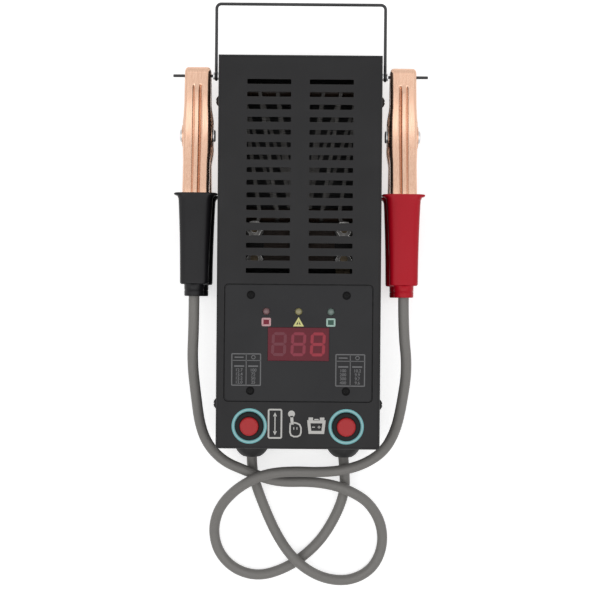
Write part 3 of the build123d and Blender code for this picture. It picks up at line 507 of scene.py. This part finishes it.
add_finish("red_lens", "red_display_filter", (0.120, 0.014, 0.024), (0.145, 0.018, 0.030),
    (0.24, 0.34), grains=1600, relief=0.004, specular=0.16)
add_finish("display_face", "display_epoxy", (0.10, 0.012, 0.016), (0.13, 0.02, 0.024),
    (0.4, 0.55), grains=2400, relief=0.01)
lamp_tones = {
    "red_lamp": ((0.13, 0.055, 0.06), (0.17, 0.08, 0.085)),
    "yellow_lamp": ((0.21, 0.185, 0.075), (0.26, 0.235, 0.11)),
    "green_lamp": ((0.10, 0.145, 0.13), (0.13, 0.185, 0.16)),
}
for lamp, tones in lamp_tones.items():
    add_finish(lamp, lamp + "_epoxy", *tones, (0.25, 0.4), grains=900, relief=0.01,
        coat=(0.6, 0.1))
print("finishes:", len(finishes))

# %% [markdown]
# ## Dress the frame
#
# The imported record says which finish each node was given. A few pieces have their own: the
# handle and the rod are blackened, and the studs, nuts and lugs beside the ribbons are made
# nearly black as painted shade, so that only the nuts' painted glints show through the slots.

# %% Finishes onto the nodes


def dress(piece, material):
    """Gives a piece one material in place of whatever it had."""
    piece.data.materials.clear()
    piece.data.materials.append(material)


# The nuts, studs and lugs take finishes with painted shade, and the nuts have painted glints as
# well.
own_finish = {
    "bail_handle": "black_wire", "clamp_rest_rod": "black_wire", "terminal_nuts": "nut_painted_shade_glints",
    "lead_lugs": "brass_painted_shade", "terminal_studs": "brass_painted_shade",
}
for row in frame["record"]["subparts"]:
    name = row["node"]
    dress(nodes[name], finishes[own_finish.get(name, row["material_slot"])])
for cable in cables:
    dress(cable, finishes["grey_cable"])
print("dressed", len(nodes), "nodes")

# %% [markdown]
# ## The button springs
#
# A coil spring under each button cap shortens as the cap goes down. A rigid copy would poke
# into the pressed cap. Each spring here is a plain copy of the frame's coil with a mesh of its
# own.

# %% Spring copies
for side_name in sides:
    node = side_name + "_button_spring"
    spring = add_object(node + "_coil", nodes[node].data.copy())
    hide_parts(node)
    dress(spring, finishes["spring_steel"])
    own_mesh(spring)

# %% [markdown]
# ## The pressed copper jaws
#
# Each half of a clamp is one strip of steel, pressed into a channel and plated with copper.
# A raised rib between two grooves runs down its middle to make it stiff and ends near the
# tip, and two ears at the pivot hold the rivet. The frame has this as plain flat faces. Here it
# is lofted from many cross sections, so that its long curves and soft folds catch the light
# as pressed metal does. A Solidify modifier gives the strip its thickness.

# %% Jaw outlines
# In millimetres: y runs up the clamp, and rise away from the plane between its halves.
clamp_x, clamp_middle_z, pivot_y = 71.0, 35.0, 81.3
half_width, strip_thickness, ear_radius = 9.0, 1.2, 7.5
handle_y, handle_edge = 37.6, 8.2
waist_y, waist_edge, waist_drop = 66.0, 3.2, 0.8
tip_start_y, tip_length, tip_rise, tip_edge = 124.2, 4.4, 6.65, 2.65
tip_narrowing, tip_roundness = 2.4, 1.2
web_line = [(handle_y, 20.6), (44.0, 19.4), (waist_y, 14.0), (pivot_y, 11.2), (104.0, 9.3),
            (tip_start_y, tip_rise)]
tooth_pitch, tooth_depth, first_tooth_y, last_tooth_y = 3.0, 1.0, 99.5, 117.5


def curve_through(points, place):
    """The height of a smooth line through points (y, z) at a place along y."""
    for index in range(len(points) - 1):
        (y0, z0), (y1, z1) = points[index], points[index + 1]
        if place <= y1 or index == len(points) - 2:
            before = points[max(0, index - 1)]
            after = points[min(len(points) - 1, index + 2)]
            slope_0 = (z1 - before[1]) / (y1 - before[0])
            slope_1 = (after[1] - z0) / (after[0] - y0)
            span = y1 - y0
            t = max(0.0, (place - y0) / span)
            return (z0 * (2 * t**3 - 3 * t**2 + 1) + slope_0 * span * (t**3 - 2 * t**2 + t)
                    + z1 * (3 * t**2 - 2 * t**3) + slope_1 * span * (t**3 - t**2))


def ease(value):
    """Goes softly from 0 to 1."""
    value = min(1.0, max(0.0, value))
    return value * value * (3 - 2 * value)


def lower_edge(y, rest_edge):
    """The open edge of the channel: handle, ear, then a straight edge with teeth."""
    if abs(y - pivot_y) <= ear_radius:
        return -math.sqrt(max(0.0, ear_radius**2 - (y - pivot_y) ** 2))
    if y < waist_y:
        return handle_edge + (waist_edge - handle_edge) * (y - handle_y) / (waist_y - handle_y)
    if y < pivot_y:
        return waist_edge - waist_drop * (y - waist_y) / (pivot_y - ear_radius - waist_y)
    if first_tooth_y <= y <= last_tooth_y:
        share = ((y - first_tooth_y) / tooth_pitch) % 1.0
        return rest_edge + tooth_depth * (1 - abs(2 * share - 1))
    return rest_edge


print("jaw web rises from", web_line[-1][1], "to", web_line[0][1], "mm")

# %% Jaw stations
station_step = 0.75


def web_at(y):
    """The rise of the channel's back and its half width at one station."""
    if y <= tip_start_y:
        return curve_through(web_line, y), half_width
    fall = math.sqrt(max(0.0, 1 - ((y - tip_start_y) / tip_length) ** 2))
    return (tip_edge + (tip_rise - tip_edge) * fall,
            half_width - tip_narrowing * (1 - fall) ** tip_roundness)


def steps_between(first, last, step):
    """Even steps from the first place to the last, as far as whole steps go."""
    return {round(first + step * k, 3) for k in range(int((last - first) / step) + 1)}


def jaw_stations():
    """Places along the jaw, closer together at the ear, the teeth and the tip."""
    places = steps_between(handle_y, tip_start_y, station_step)
    places |= steps_between(first_tooth_y, last_tooth_y, tooth_pitch / 4)
    places |= {round(pivot_y + ear_radius * math.cos(math.radians(a)), 3)
               for a in range(0, 181, 9)}
    places = [y for y in sorted(places) if y < tip_start_y]
    return places + [tip_start_y + tip_length * math.sin(math.radians(a))
                     for a in range(0, 91, 10)]


print("jaw has", len(jaw_stations()), "stations")

# %% Jaw sections
bulge_start_y, bulge_grows, bulge_end_y, bulge_fades = 60.0, 12.0, 104.0, 14.0
least_side, fold_radius, fold_share, side_steps = 0.4, 2.3, 0.45, 6
rib_end_y, rib_fade, groove_fade, rib_half_width, rib_rise = 116.2, 6.0, 1.8, 1.95, 0.85
inner_groove, outer_groove = (1.75, 0.85), (0.6, 0.55)
web_crown, groove_margin = 0.12, 1.5
# From the web over one groove to the rib's top: millimetres outward, less so many slopes,
# then millimetres up, less so many groove depths, plus so many rib rises.
rib_flank = [(1.0, 0.0, 0.08, 0.0, 0.0), (0.72, 0.0, 0.0, 0.45, 0.0), (0.42, 0.0, 0.0, 1.0, 0.0),
             (0.12, 0.0, 0.0, 1.0, 0.0), (0.0, 0.3, 0.0, 0.25, 0.35), (0.0, 0.75, 0.0, 0.0, 0.82),
             (0.0, 1.35, 0.0, 0.0, 0.96)]


def jaw_section(y, rest_edge, web_bulge, ear_bulge, inner_side):
    """Points (x, y, rise) across the channel at one station, from edge to open edge."""
    top, width = web_at(y)
    bulge = ease((y - bulge_start_y) / bulge_grows) * ease((bulge_end_y - y) / bulge_fades)
    edge = min(lower_edge(y, rest_edge), top - least_side)
    rib = rib_rise * ease((rib_end_y - y) / rib_fade)
    fold = min(fold_radius, (top - edge) * fold_share)
    half = []
    for side in sides.values():
        depth, slope = inner_groove if side == inner_side else outer_groove
        groove = depth * ease((rib_end_y - y) / groove_fade)
        upper = width + web_bulge * bulge
        lower = width + ear_bulge * bulge
        flat = upper - fold
        points = []
        for k in range(side_steps + 1):
            share = k / side_steps
            points.append((lower + (upper - lower) * share, edge + (top - fold - edge) * share))
        for k in range(1, side_steps + 1):
            turn = k / side_steps * math.pi / 2
            points.append((flat + fold * math.cos(turn), top - fold + fold * math.sin(turn)))
        for share in (0.35, 0.7):
            points.append((flat + (rib_half_width + groove_margin - flat) * share,
                           top + web_crown * share))
        for out, slopes, up, depths, rises in rib_flank:
            points.append((rib_half_width + out - slopes * slope,
                           top + up - depths * groove + rises * rib))
        half.append([(side * x, y, z) for x, z in points])
    return half[0] + [(0.0, y, top + rib)] + half[1][::-1]


print("section has", len(jaw_section(pivot_y, 1.0, 0.0, 0.0, 1)), "points")

# %% Lofted jaws
front_edge, rear_edge = 1.05, 1.3
front_bulges, rear_bulges = (0.45, 0.0), (1.6, 1.6)


def loft_on_clamp(mesh, sections, side, facing, closed):
    """Skins sections of points (x, y, rise), and gives back their rings of vertices."""
    rings = [[mesh.verts.new(((side * clamp_x + x) * MM, y * MM,
                              (clamp_middle_z + facing * rise) * MM)) for x, y, rise in section]
             for section in sections]
    for before, after in zip(rings, rings[1:]):
        count = len(before)
        for k in range(count if closed else count - 1):
            beside = (k + 1) % count
            mesh.faces.new((before[k], before[beside], after[beside], after[k]))
    return rings


def press_jaw(node, side, facing, body, rest_edge, bulges):
    """One half of a clamp: side is -1 or 1 for left or right, facing 1 for front, -1 for rear."""
    mesh = bmesh.new()
    sections = [jaw_section(y, rest_edge, *bulges, -side) for y in jaw_stations()]
    loft_on_clamp(mesh, sections, side, facing, closed=False)
    bmesh.ops.recalc_face_normals(mesh, faces=mesh.faces)
    middle = mesh.faces[len(mesh.faces) // 2]
    if middle.normal.z * facing < 0:
        bmesh.ops.reverse_faces(mesh, faces=mesh.faces)
    piece = add_object(node + "_pressed", to_data(node + "_pressed", mesh), body)
    piece.data.shade_smooth()
    solid_strip = piece.modifiers.new("strip", "SOLIDIFY")
    solid_strip.thickness = strip_thickness * MM
    solid_strip.offset = -1.0
    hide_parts(node)
    dress(piece, finishes["copper"])
    print(piece.name, len(piece.data.polygons), "faces")


for side_name, side in sides.items():
    press_jaw(side_name + "_front_jaw", side, 1, "root", front_edge, front_bulges)
    press_jaw(side_name + "_rear_jaw", side, -1, side_name + "_clamp_rear", rear_edge, rear_bulges)

# %% [markdown]
# ## The soft sleeves
#
# A vinyl sleeve is dipped or moulded in one piece and pushed over each handle. Its section is
# a soft rounded oblong that shrinks towards the cable, the mouth has a finger guard that
# stands out at both sides only, and a round collar grips the cable. A loft through such
# sections keeps the crown that flat faces would lose, and the crown is what shades it softly.

# %% Sleeve sizes
sleeve_points = 56
mouth_y, sleeve_foot_y, collar_end_y = 40.4, -22.0, -30.0
mouth_half, foot_half = (11.8, 7.75, 14.2), (9.5, 6.5, 22.0)
body_swell, collar_radius, cable_hole = 0.35, 6.7, 3.78


def sleeve_ring(y, half_width, half_depth, rise, squareness):
    """Points (x, y, rise) round a rounded oblong, squarer with a higher squareness."""
    ring = []
    for k in range(sleeve_points):
        turn = 2 * math.pi * (k + 0.5) / sleeve_points
        c, s = math.cos(turn), math.sin(turn)
        ring.append((math.copysign(abs(c) ** (2 / squareness), c) * half_width, y,
                     rise + math.copysign(abs(s) ** (2 / squareness), s) * half_depth))
    return ring


def sleeve_size(y):
    """Half width, half depth and rise of the sleeve's body at a place along it."""
    share = (mouth_y - y) / (mouth_y - sleeve_foot_y)
    swell = body_swell * math.sin(math.pi * share)
    return [a + (b - a) * share + extra
            for a, b, extra in zip(mouth_half, foot_half, (-swell, 0.0, 0.0))]


print("sleeve mouth", [round(2 * v, 1) for v in sleeve_size(mouth_y)[:2]], "mm")

# %% Sleeve rings
mouth_square, guard_square, body_square, foot_square, neck_square, round_square = (
    4.2, 3.6, 3.4, 3.2, 2.2, 2.0)
# (depth below the mouth, gap to the outside), (drop, reach of the guard) and, at the foot,
# (height above it, shrink)
mouth_steps = [(6.0, 0.7), (0.3, 0.7), (0.0, 0.35)]
guard_steps = [(0.0, 2.5), (0.35, 3.0), (0.9, 3.1), (1.4, 2.6), (1.75, 1.5), (2.2, 0.75),
               (3.0, 0.28), (4.2, 0.06)]
body_steps = 14
foot_steps = [(1.2, 0.0), (0.75, 0.12), (0.35, 0.4), (0.08, 0.85), (0.0, 1.3)]
foot_hold, neck_change = 0.15, 0.35
# (y, shrink) along the ribbed collar, then (y, radius) up its hole
collar_steps = [(-22.4, 0.0), (-25.6, 0.05), (-26.0, 0.35), (-26.4, 0.05), (-29.4, 0.1),
                (-29.85, 0.35), (collar_end_y, 0.8)]
hole_steps = [(collar_end_y, cable_hole + 0.3), (-29.7, cable_hole), (-24.0, cable_hole)]


def sleeve_rings():
    """All rings, from inside the mouth over the outside to inside the collar."""
    rings = []
    for depth, gap in mouth_steps:
        width, height, rise = sleeve_size(mouth_y - depth)
        rings.append(sleeve_ring(mouth_y - depth, width - gap, height - gap, rise, mouth_square))
    for drop, wing in guard_steps:
        width, height, rise = sleeve_size(mouth_y - drop)
        rings.append(sleeve_ring(mouth_y - drop, width + wing, height, rise, guard_square))
    body_top, body_foot = mouth_y - guard_steps[-1][0], sleeve_foot_y + foot_steps[0][0]
    for k in range(1, body_steps + 1):
        y = body_top - (body_top - body_foot) * k / body_steps
        rings.append(sleeve_ring(y, *sleeve_size(y), body_square))
    width, height, rise = sleeve_size(sleeve_foot_y)
    for above, shrink in foot_steps:
        rings.append(sleeve_ring(sleeve_foot_y + above, width - shrink,
                                 min(height, height + foot_hold - shrink), rise, foot_square))
    rings.append(sleeve_ring(sleeve_foot_y, collar_radius + neck_change,
                             collar_radius - neck_change, rise, neck_square))
    for y, radius in [(y, collar_radius - shrink) for y, shrink in collar_steps] + hole_steps:
        rings.append(sleeve_ring(y, radius, radius, rise, round_square))
    return rings


print("sleeve has", len(sleeve_rings()), "rings of", sleeve_points, "points")

# %% Lofted sleeves
sleeve_finish = {"left": "black_sleeve", "right": "red_sleeve"}
crease_angle = math.radians(50)


def mould_sleeve(node, side, facing, body, finish):
    """One sleeve: side is -1 or 1 for left or right, facing 1 for front, -1 for rear."""
    mesh = bmesh.new()
    rings = loft_on_clamp(mesh, sleeve_rings(), side, facing, closed=True)
    mesh.faces.new(rings[0])
    mesh.faces.new(rings[-1])
    bmesh.ops.recalc_face_normals(mesh, faces=mesh.faces)
    piece = add_object(node + "_moulded", to_data(node + "_moulded", mesh), body)
    piece.data.shade_smooth()
    piece.data.set_sharp_from_angle(angle=crease_angle)
    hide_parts(node)
    dress(piece, finishes[finish])
    print(piece.name, len(piece.data.polygons), "faces")


for side_name, side in sides.items():
    finish = sleeve_finish[side_name]
    mould_sleeve(side_name + "_front_sleeve", side, 1, "root", finish)
    mould_sleeve(side_name + "_rear_sleeve", side, -1, side_name + "_clamp_rear", finish)

# %% [markdown]
# ## Printing on the panel
#
# The signs are screen printed: a thin, even layer of ink. Printing could be a picture on the
# surface, but here each stroke is a real slab a tenth of a millimetre thick, so that it
# stays sharp from close by and comes along with the mesh.

# %% Plates and lines of ink
ink_height = 0.08 * MM
sharpest_mitre = 0.35


def slab(mesh, outline, low, high):
    """A flat plate from an outline in millimetres, between two heights in metres."""
    lower = [mesh.verts.new((x * MM, y * MM, low)) for x, y in outline]
    upper = [mesh.verts.new((x * MM, y * MM, high)) for x, y in outline]
    mesh.faces.new(upper)
    mesh.faces.new(lower[::-1])
    for place in range(len(outline)):
        after = (place + 1) % len(outline)
        mesh.faces.new((lower[place], lower[after], upper[after], upper[place]))


def offset_points(path, distance, closed):
    """The path moved sideways by a distance, with mitred corners."""
    legs = [(Vector(b) - Vector(a)).normalized() for a, b in zip(path, path[1:] + path[:1])]
    normals = [Vector((-leg.y, leg.x)) for leg in legs]
    moved = []
    for place, point in enumerate(path):
        side_in = normals[place - 1 if closed or place else 0]
        side_out = normals[place if closed or place < len(path) - 1 else place - 1]
        middle = (side_in + side_out).normalized()
        reach = distance / max(sharpest_mitre, middle.dot(side_in))
        moved.append(Vector(point) + middle * reach)
    return moved


def stroke(mesh, path, width, low, high, closed=False):
    """A line of ink of an even width along a path in millimetres."""
    left = offset_points(path, width / 2, closed)
    right = offset_points(path, -width / 2, closed)
    rings = [
        [mesh.verts.new((p.x * MM, p.y * MM, z)) for p in side]
        for side, z in ((left, low), (left, high), (right, high), (right, low))
    ]
    count = len(path)
    for place in range(count if closed else count - 1):
        after = (place + 1) % count
        for side in range(4):
            one, other = rings[side], rings[(side + 1) % 4]
            mesh.faces.new((one[place], one[after], other[after], other[place]))
    if not closed:
        mesh.faces.new([ring[0] for ring in rings])
        mesh.faces.new([ring[-1] for ring in rings][::-1])


print("ink is", ink_height / MM, "mm thick above its face")

# %% Outlines and the finished print


def circle(x, y, radius, steps=40, start=0.0, turn=2 * math.pi):
    """Points round a circle or along an arc of it."""
    closed = abs(turn - 2 * math.pi) < 1e-6
    parts = steps if closed else steps - 1
    return [
        (x + radius * math.cos(start + turn * k / parts),
         y + radius * math.sin(start + turn * k / parts))
        for k in range(steps)
    ]


def rounded_box(x0, y0, x1, y1, radius, steps=6):
    """The outline of a rectangle with round corners."""
    corners = ((x1 - radius, y1 - radius), (x0 + radius, y1 - radius),
               (x0 + radius, y0 + radius), (x1 - radius, y0 + radius))
    points = []
    for quarter, (x, y) in enumerate(corners):
        points += circle(x, y, radius, steps, quarter * math.pi / 2, math.pi / 2)
    return points


def finish_print(name, mesh, material):
    """Turns the drawn ink into a piece that rides on the box."""
    bmesh.ops.recalc_face_normals(mesh, faces=mesh.faces)
    piece = add_object(name, to_data(name, mesh))
    dress(piece, material)
    print(name, len(piece.data.polygons), "faces")


print("a round box has", len(rounded_box(0, 0, 4, 4, 1)), "points")

# %% Inks


def make_ink(name, colour, tone, glow=0.0):
    """A satin ink in two close tones, which may glow."""
    ink = make_finish(name, colour, tone, (0.42, 0.55), grains=2600, relief=0.006, specular=0.25)
    if glow:
        shader = ink.node_tree.nodes["Principled BSDF"]
        shader.inputs["Emission Color"].default_value = solid(*tone)
        shader.inputs["Emission Strength"].default_value = glow
    return ink


ink_tones = {
    "white": ((0.50, 0.49, 0.47), (0.60, 0.59, 0.57)),
    "grey": ((0.125, 0.125, 0.13), (0.165, 0.165, 0.17)),
    "teal": ((0.155, 0.44, 0.46), (0.20, 0.52, 0.545)),
    # The pale teal is a painted highlight on the button rings.
    "painted_highlight_teal": ((0.36, 0.60, 0.62), (0.42, 0.66, 0.68)),
    "rose": ((0.55, 0.32, 0.34), (0.62, 0.38, 0.40)),
    "crimson": ((0.16, 0.012, 0.028), (0.20, 0.016, 0.034)),
    "yellow": ((0.62, 0.60, 0.24), (0.70, 0.68, 0.30)),
    "mint": ((0.36, 0.52, 0.46), (0.42, 0.58, 0.52)),
    "dark_green": ((0.03, 0.08, 0.06), (0.04, 0.10, 0.075)),
}
inks = {name: make_ink(name + "_ink", *tones) for name, tones in ink_tones.items()}
print("inks:", ", ".join(inks))

# %% [markdown]
# ### Rings round the buttons and signs beside them
#
# A teal ring frames each push button, and a pale line along its middle is a painted
# highlight. Between them are three signs: a travel arrow in a frame, a hand that presses, and
# a battery. They sit on the steel, so their base is the front face of the cover.

# %% Button rings
front_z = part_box("front_cover")[1].z
sign_low, sign_high = front_z - ink_height, front_z + ink_height
cap_low, cap_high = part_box("right_button_cap")
button_x = (cap_low.x + cap_high.x) / 2 / MM
button_y = (cap_low.y + cap_high.y) / 2 / MM
ring_radius, ring_width, highlight_width, ring_steps = 10.75, 2.1, 0.7, 96
highlight_top = front_z + 1.4 * ink_height


def print_rings(name, width, low, high, material):
    """The same ring round both buttons, as one piece."""
    ink = bmesh.new()
    for side in sides.values():
        stroke(ink, circle(side * button_x, button_y, ring_radius, ring_steps), width,
               low, high, closed=True)
    finish_print(name, ink, material)


print_rings("button_rings", ring_width, sign_low, sign_high, inks["teal"])
# The pale line along the middle of each ring is a painted highlight.
print_rings("button_ring_highlights", highlight_width, front_z, highlight_top, inks["painted_highlight_teal"])

# %% Travel arrow, hand and battery signs
arrow_x = -15.2
arrow_frame = rounded_box(-19.5, -124.4, -10.9, -105.5, 0.9)
arrow_heads = [[(arrow_x, tip), (arrow_x - 1.3, base), (arrow_x + 1.3, base)]
               for tip, base in ((-107.3, -110.0), (-122.6, -119.9))]
fingertip = circle(-4.2, -108.3, 2.3)
finger = [(-4.1, -109.6), (-3.9, -112.4), (-3.6, -115.4)]
fist = [(-4.9, -114.3), (-5.1, -117.2), (-5.1, -120.7), (-4.4, -122.5), (-2.6, -123.4),
        (-0.2, -123.4), (1.5, -122.5), (2.2, -120.7), (2.2, -117.4), (1.3, -115.4),
        (-0.6, -114.5), (-2.9, -114.0)]
battery_box = [(7.4, -113.4), (17.6, -113.4), (16.8, -120.5), (8.2, -120.5)]
pole_y, pole_half, handle_bar = -111.5, 1.5, [(11.1, -112.1), (13.9, -112.1)]
minus = [(9.7, -117.0), (11.5, -117.0)]
plus = [[(13.4, -117.0), (15.2, -117.0)], [(14.3, -116.1), (14.3, -117.9)]]
# (path, width of the line, whether it is closed)
sign_lines = [
    (arrow_frame, 1.1, True), ([(arrow_x, -109.5), (arrow_x, -120.4)], 0.7, False),
    (finger, 2.0, False), (fist, 1.0, False),
    *[([(x, -118.8), (x, -117.1)], 0.5, False) for x in (-2.6, -0.5)],
    (battery_box, 2.0, True), (handle_bar, 1.2, False), (minus, 0.6, False),
    *[([(x - pole_half, pole_y), (x + pole_half, pole_y)], 1.9, False) for x in (8.7, 16.3)],
    *[(bar, 0.6, False) for bar in plus],
]

ink = bmesh.new()
for outline in (*arrow_heads, fingertip):
    slab(ink, outline, sign_low, sign_high)
for path, width, closed in sign_lines:
    stroke(ink, path, width, sign_low, sign_high, closed)
finish_print("press_signs", ink, inks["white"])

# %% [markdown]
# ### Signs, tables and numbers on the film
#
# Under the three lamps are three small signs. The two tables hold plain numbers: how full
# the battery is and its voltage, and the current with the voltage it must keep. The numbers
# are text curves in Blender's own font, turned into thin meshes.

# %% Lamp signs
film_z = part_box("panel_overlay")[1].z
film_low, film_high, field_high = film_z - ink_height, film_z + ink_height, film_z + ink_height / 2
lamp_x, sign_y = 21.6, -47.0


def sign_box(x, half_wide, half_high):
    """A small box with round corners under a lamp."""
    return rounded_box(x - half_wide, sign_y - half_high, x + half_wide, sign_y + half_high,
                       0.3, 3)


def print_lamp_box(name, x, line, frame_ink, field_ink):
    """A printed frame and the darker field inside it, as two pieces."""
    ink = bmesh.new()
    stroke(ink, sign_box(x, 2.5, 2.2), line, film_low, film_high, True)
    finish_print(name + "_lamp_sign_frame", ink, frame_ink)
    ink = bmesh.new()
    slab(ink, sign_box(x, 2.2, 1.9), film_low, field_high)
    finish_print(name + "_lamp_sign_field", ink, field_ink)


print_lamp_box("red", -lamp_x, 1.2, inks["rose"], inks["crimson"])

ink = bmesh.new()
stroke(ink, [(-2.6, sign_y - 2.2), (0.0, sign_y + 2.3), (2.6, sign_y - 2.2)], 1.2,
       film_low, film_high, True)
stroke(ink, [(0.0, sign_y - 1.2), (0.0, sign_y + 0.6)], 0.7, film_low, field_high)
slab(ink, [(-2.4, sign_y - 2.1), (2.4, sign_y - 2.1), (0.0, sign_y - 1.2)], film_low, field_high)
finish_print("yellow_lamp_sign", ink, inks["yellow"])

print_lamp_box("green", lamp_x, 1.1, inks["mint"], inks["dark_green"])

# %% Numbers as thin solids
number_size, number_weight = 2.9, 0.022


def write_number(mesh, words, x, y, low, high):
    """Adds a number as thin solid text, centred on a point in millimetres."""
    curve = bpy.data.curves.new("number", "FONT")
    curve.body = words
    curve.size = number_size
    curve.offset = number_weight * number_size
    curve.align_x, curve.align_y = "CENTER", "CENTER"
    curve.extrude = (high - low) / 2 / MM
    curve.resolution_u = 3
    letter = bpy.data.objects.new("number", curve)
    shape = bpy.data.meshes.new_from_object(letter)
    for vertex in shape.vertices:
        px, py, pz = vertex.co
        vertex.co = ((x + px) * MM, (y + py) * MM, (low + high) / 2 + pz * MM)
    mesh.from_mesh(shape)
    bpy.data.objects.remove(letter)
    bpy.data.curves.remove(curve)
    bpy.data.meshes.remove(shape)


print("numbers have a font size of", number_size, "mm")

# %% Tables
table_rows = {
    -34.8: [("12.7", "100"), ("12.4", "75"), ("12.2", "50"), ("12.0", "25")],
    34.8: [("100", "10.2"), ("200", "9.9"), ("300", "9.7"), ("400", "9.6")],
}
table_top, table_bottom, table_half = -68.4, -89.4, 9.6
header_y, title_y, dial_y, unit_y = table_top - 4.4, -70.7, -70.6, -76.6
first_row_y, row_pitch, column_half = -79.3, 2.7, table_half / 2

ink = bmesh.new()
for centre, rows in table_rows.items():
    left, right = centre - table_half, centre + table_half
    # (path, width of the line, whether it is closed)
    table_lines = [
        (rounded_box(left, table_bottom, right, table_top, 0.4, 3), 0.75, True),
        ([(centre, table_bottom), (centre, table_top)], 0.55, False),
        ([(left, header_y), (right, header_y)], 0.5, False),
        ([(left + 1.6, unit_y), (centre - 1.3, unit_y)], 1.0, False),
        ([(centre + 1.3, unit_y), (right - 1.6, unit_y)], 1.0, False),
        ([(left + 1.8, title_y), (centre - 1.8, title_y)], 0.8, False),
        (circle(centre + column_half, dial_y, 1.2, 24), 0.5, True),
    ]
    for path, width, closed in table_lines:
        stroke(ink, path, width, film_low, film_high, closed)
    for row, (first, second) in enumerate(rows):
        line_y = first_row_y - row_pitch * row
        write_number(ink, first, centre - column_half, line_y, film_low, film_high)
        write_number(ink, second, centre + column_half, line_y, film_low, film_high)
finish_print("test_tables", ink, inks["grey"])

# %% [markdown]
# ### The meter's three digits
#
# Each digit is seven red bars behind a dark filter, and they read as a pale eight. On the
# real meter the bars lie behind the filter; printed on its face they look the same and need
# no glass. They lean a little, as on most meters. Their faint glow is painted light, and so
# is their brightness, which is least in the left digit and most in the right one, so each one
# has its own colour and glow.

# %% Seven segment digits
window_low, window_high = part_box("display_window")
digit_low, digit_high = window_high.z - ink_height, window_high.z + ink_height / 2
display_x = (window_low.x + window_high.x) / 2 / MM
display_y = (window_low.y + window_high.y) / 2 / MM
digit_pitch, digit_width, digit_height, bar_width, bar_gap = 13.0, 8.0, 14.0, 2.0, 0.16
digit_lean = math.tan(math.radians(3.0))
bar_ends = [
    ((0, 0), (1, 0)), ((0, 1), (1, 1)), ((0, 2), (1, 2)),
    ((0, 0), (0, 1)), ((0, 1), (0, 2)), ((1, 0), (1, 1)), ((1, 1), (1, 2)),
]


def draw_digit(mesh, centre):
    """Seven pointed bars that make an eight."""
    for (x0, y0), (x1, y1) in bar_ends:
        start = Vector(((x0 - 0.5) * digit_width, (y0 - 1.0) * digit_height / 2))
        end = Vector(((x1 - 0.5) * digit_width, (y1 - 1.0) * digit_height / 2))
        along = (end - start).normalized()
        side = Vector((-along.y, along.x)) * bar_width / 2
        shoulder = along * (bar_width / 2 + bar_gap)
        bar = [start + along * bar_gap, start + shoulder - side, end - shoulder - side,
               end - along * bar_gap, end - shoulder + side, start + shoulder + side]
        slab(mesh, [(centre + p.x + p.y * digit_lean, display_y + p.y) for p in bar],
             digit_low, digit_high)


# Painted light: each digit gets its own brightness of colour and a faint glow.
digit_looks = [
    ("left_digit", -1, (0.165, 0.040, 0.055), 0.03),
    ("middle_digit", 0, (0.24, 0.034, 0.056), 0.10),
    ("right_digit", 1, (0.30, 0.032, 0.050), 0.14),
]
for name, place, colour, glow in digit_looks:
    ink = bmesh.new()
    draw_digit(ink, display_x + place * digit_pitch)
    lit = make_ink(name + "_light", tuple(0.85 * c for c in colour), colour, glow)
    finish_print(name, ink, lit)

# %% [markdown]
# ## The table, the backdrop and the light
#
# The tester lies on a white table. The table glows a little to the camera and in
# reflections, so that it stays white while the soft shadows of the cables still show. One
# large soft lamp hangs overhead and two long ones stand at the sides: they draw the pale
# streaks down the round sleeves.

# %% Table
table_size, table_glow = 6.0, 0.6
floor_gap = 0.2 * MM
grid = bmesh.new()
bmesh.ops.create_grid(grid, x_segments=1, y_segments=1, size=table_size / 2)
floor = put_in_scene("white_table", to_data("white_table", grid))
floor.location.z = -floor_gap


def seen_directly(tree):
    """1 for camera, mirror and glass rays, and 0 for rays that carry light to the object."""
    path = new_node(tree, "ShaderNodeLightPath")
    either = maths(tree, "MAXIMUM", path.outputs["Is Camera Ray"], path.outputs["Is Glossy Ray"])
    return maths(tree, "MAXIMUM", either, path.outputs["Is Transmission Ray"])


table_white = bpy.data.materials.new("white_table_top")
table_white.use_nodes = True
tree = table_white.node_tree
shader = tree.nodes["Principled BSDF"]
shader.inputs["Base Color"].default_value = solid(0.78, 0.78, 0.78)
shader.inputs["Roughness"].default_value = 0.6
shader.inputs["Specular IOR Level"].default_value = 0.2
shader.inputs["Emission Color"].default_value = solid(1.0, 1.0, 1.0)
glow = maths(tree, "MULTIPLY", seen_directly(tree), table_glow)
wire(tree, glow, shader.inputs["Emission Strength"])
dress(floor, table_white)
print("table", table_size, "m")

# %% Studio light
room_level, seen_level = 0.42, 1.0
world = bpy.data.worlds.new("plain_studio")
world.use_nodes = True
bpy.context.scene.world = world
tree = world.node_tree
background = tree.nodes["Background"]
background.inputs["Color"].default_value = solid(1.0, 1.0, 1.0)
strength = maths(tree, "MULTIPLY_ADD", seen_directly(tree), seen_level - room_level, room_level)
wire(tree, strength, background.inputs["Strength"])

lamp_target = Vector((0.0, 0.0, 0.03))
lamps = [
    ("overhead_softbox", (0.0, -0.27, 1.5), (1.9, 1.9), 10.4),
    ("left_strip", (-1.0, 0.0, 0.9), (0.3, 1.4), 1.6),
    ("right_strip", (1.0, 0.1, 0.9), (0.3, 1.4), 1.3),
]
for name, place, size, power in lamps:
    light = bpy.data.lights.new(name, "AREA")
    light.shape = "RECTANGLE"
    light.size, light.size_y = size
    light.energy = power
    lamp = put_in_scene(name, light)
    lamp.location = place
    lamp.rotation_euler = (lamp_target - Vector(place)).to_track_quat("-Z", "Y").to_euler()
    print(name, power, "W")
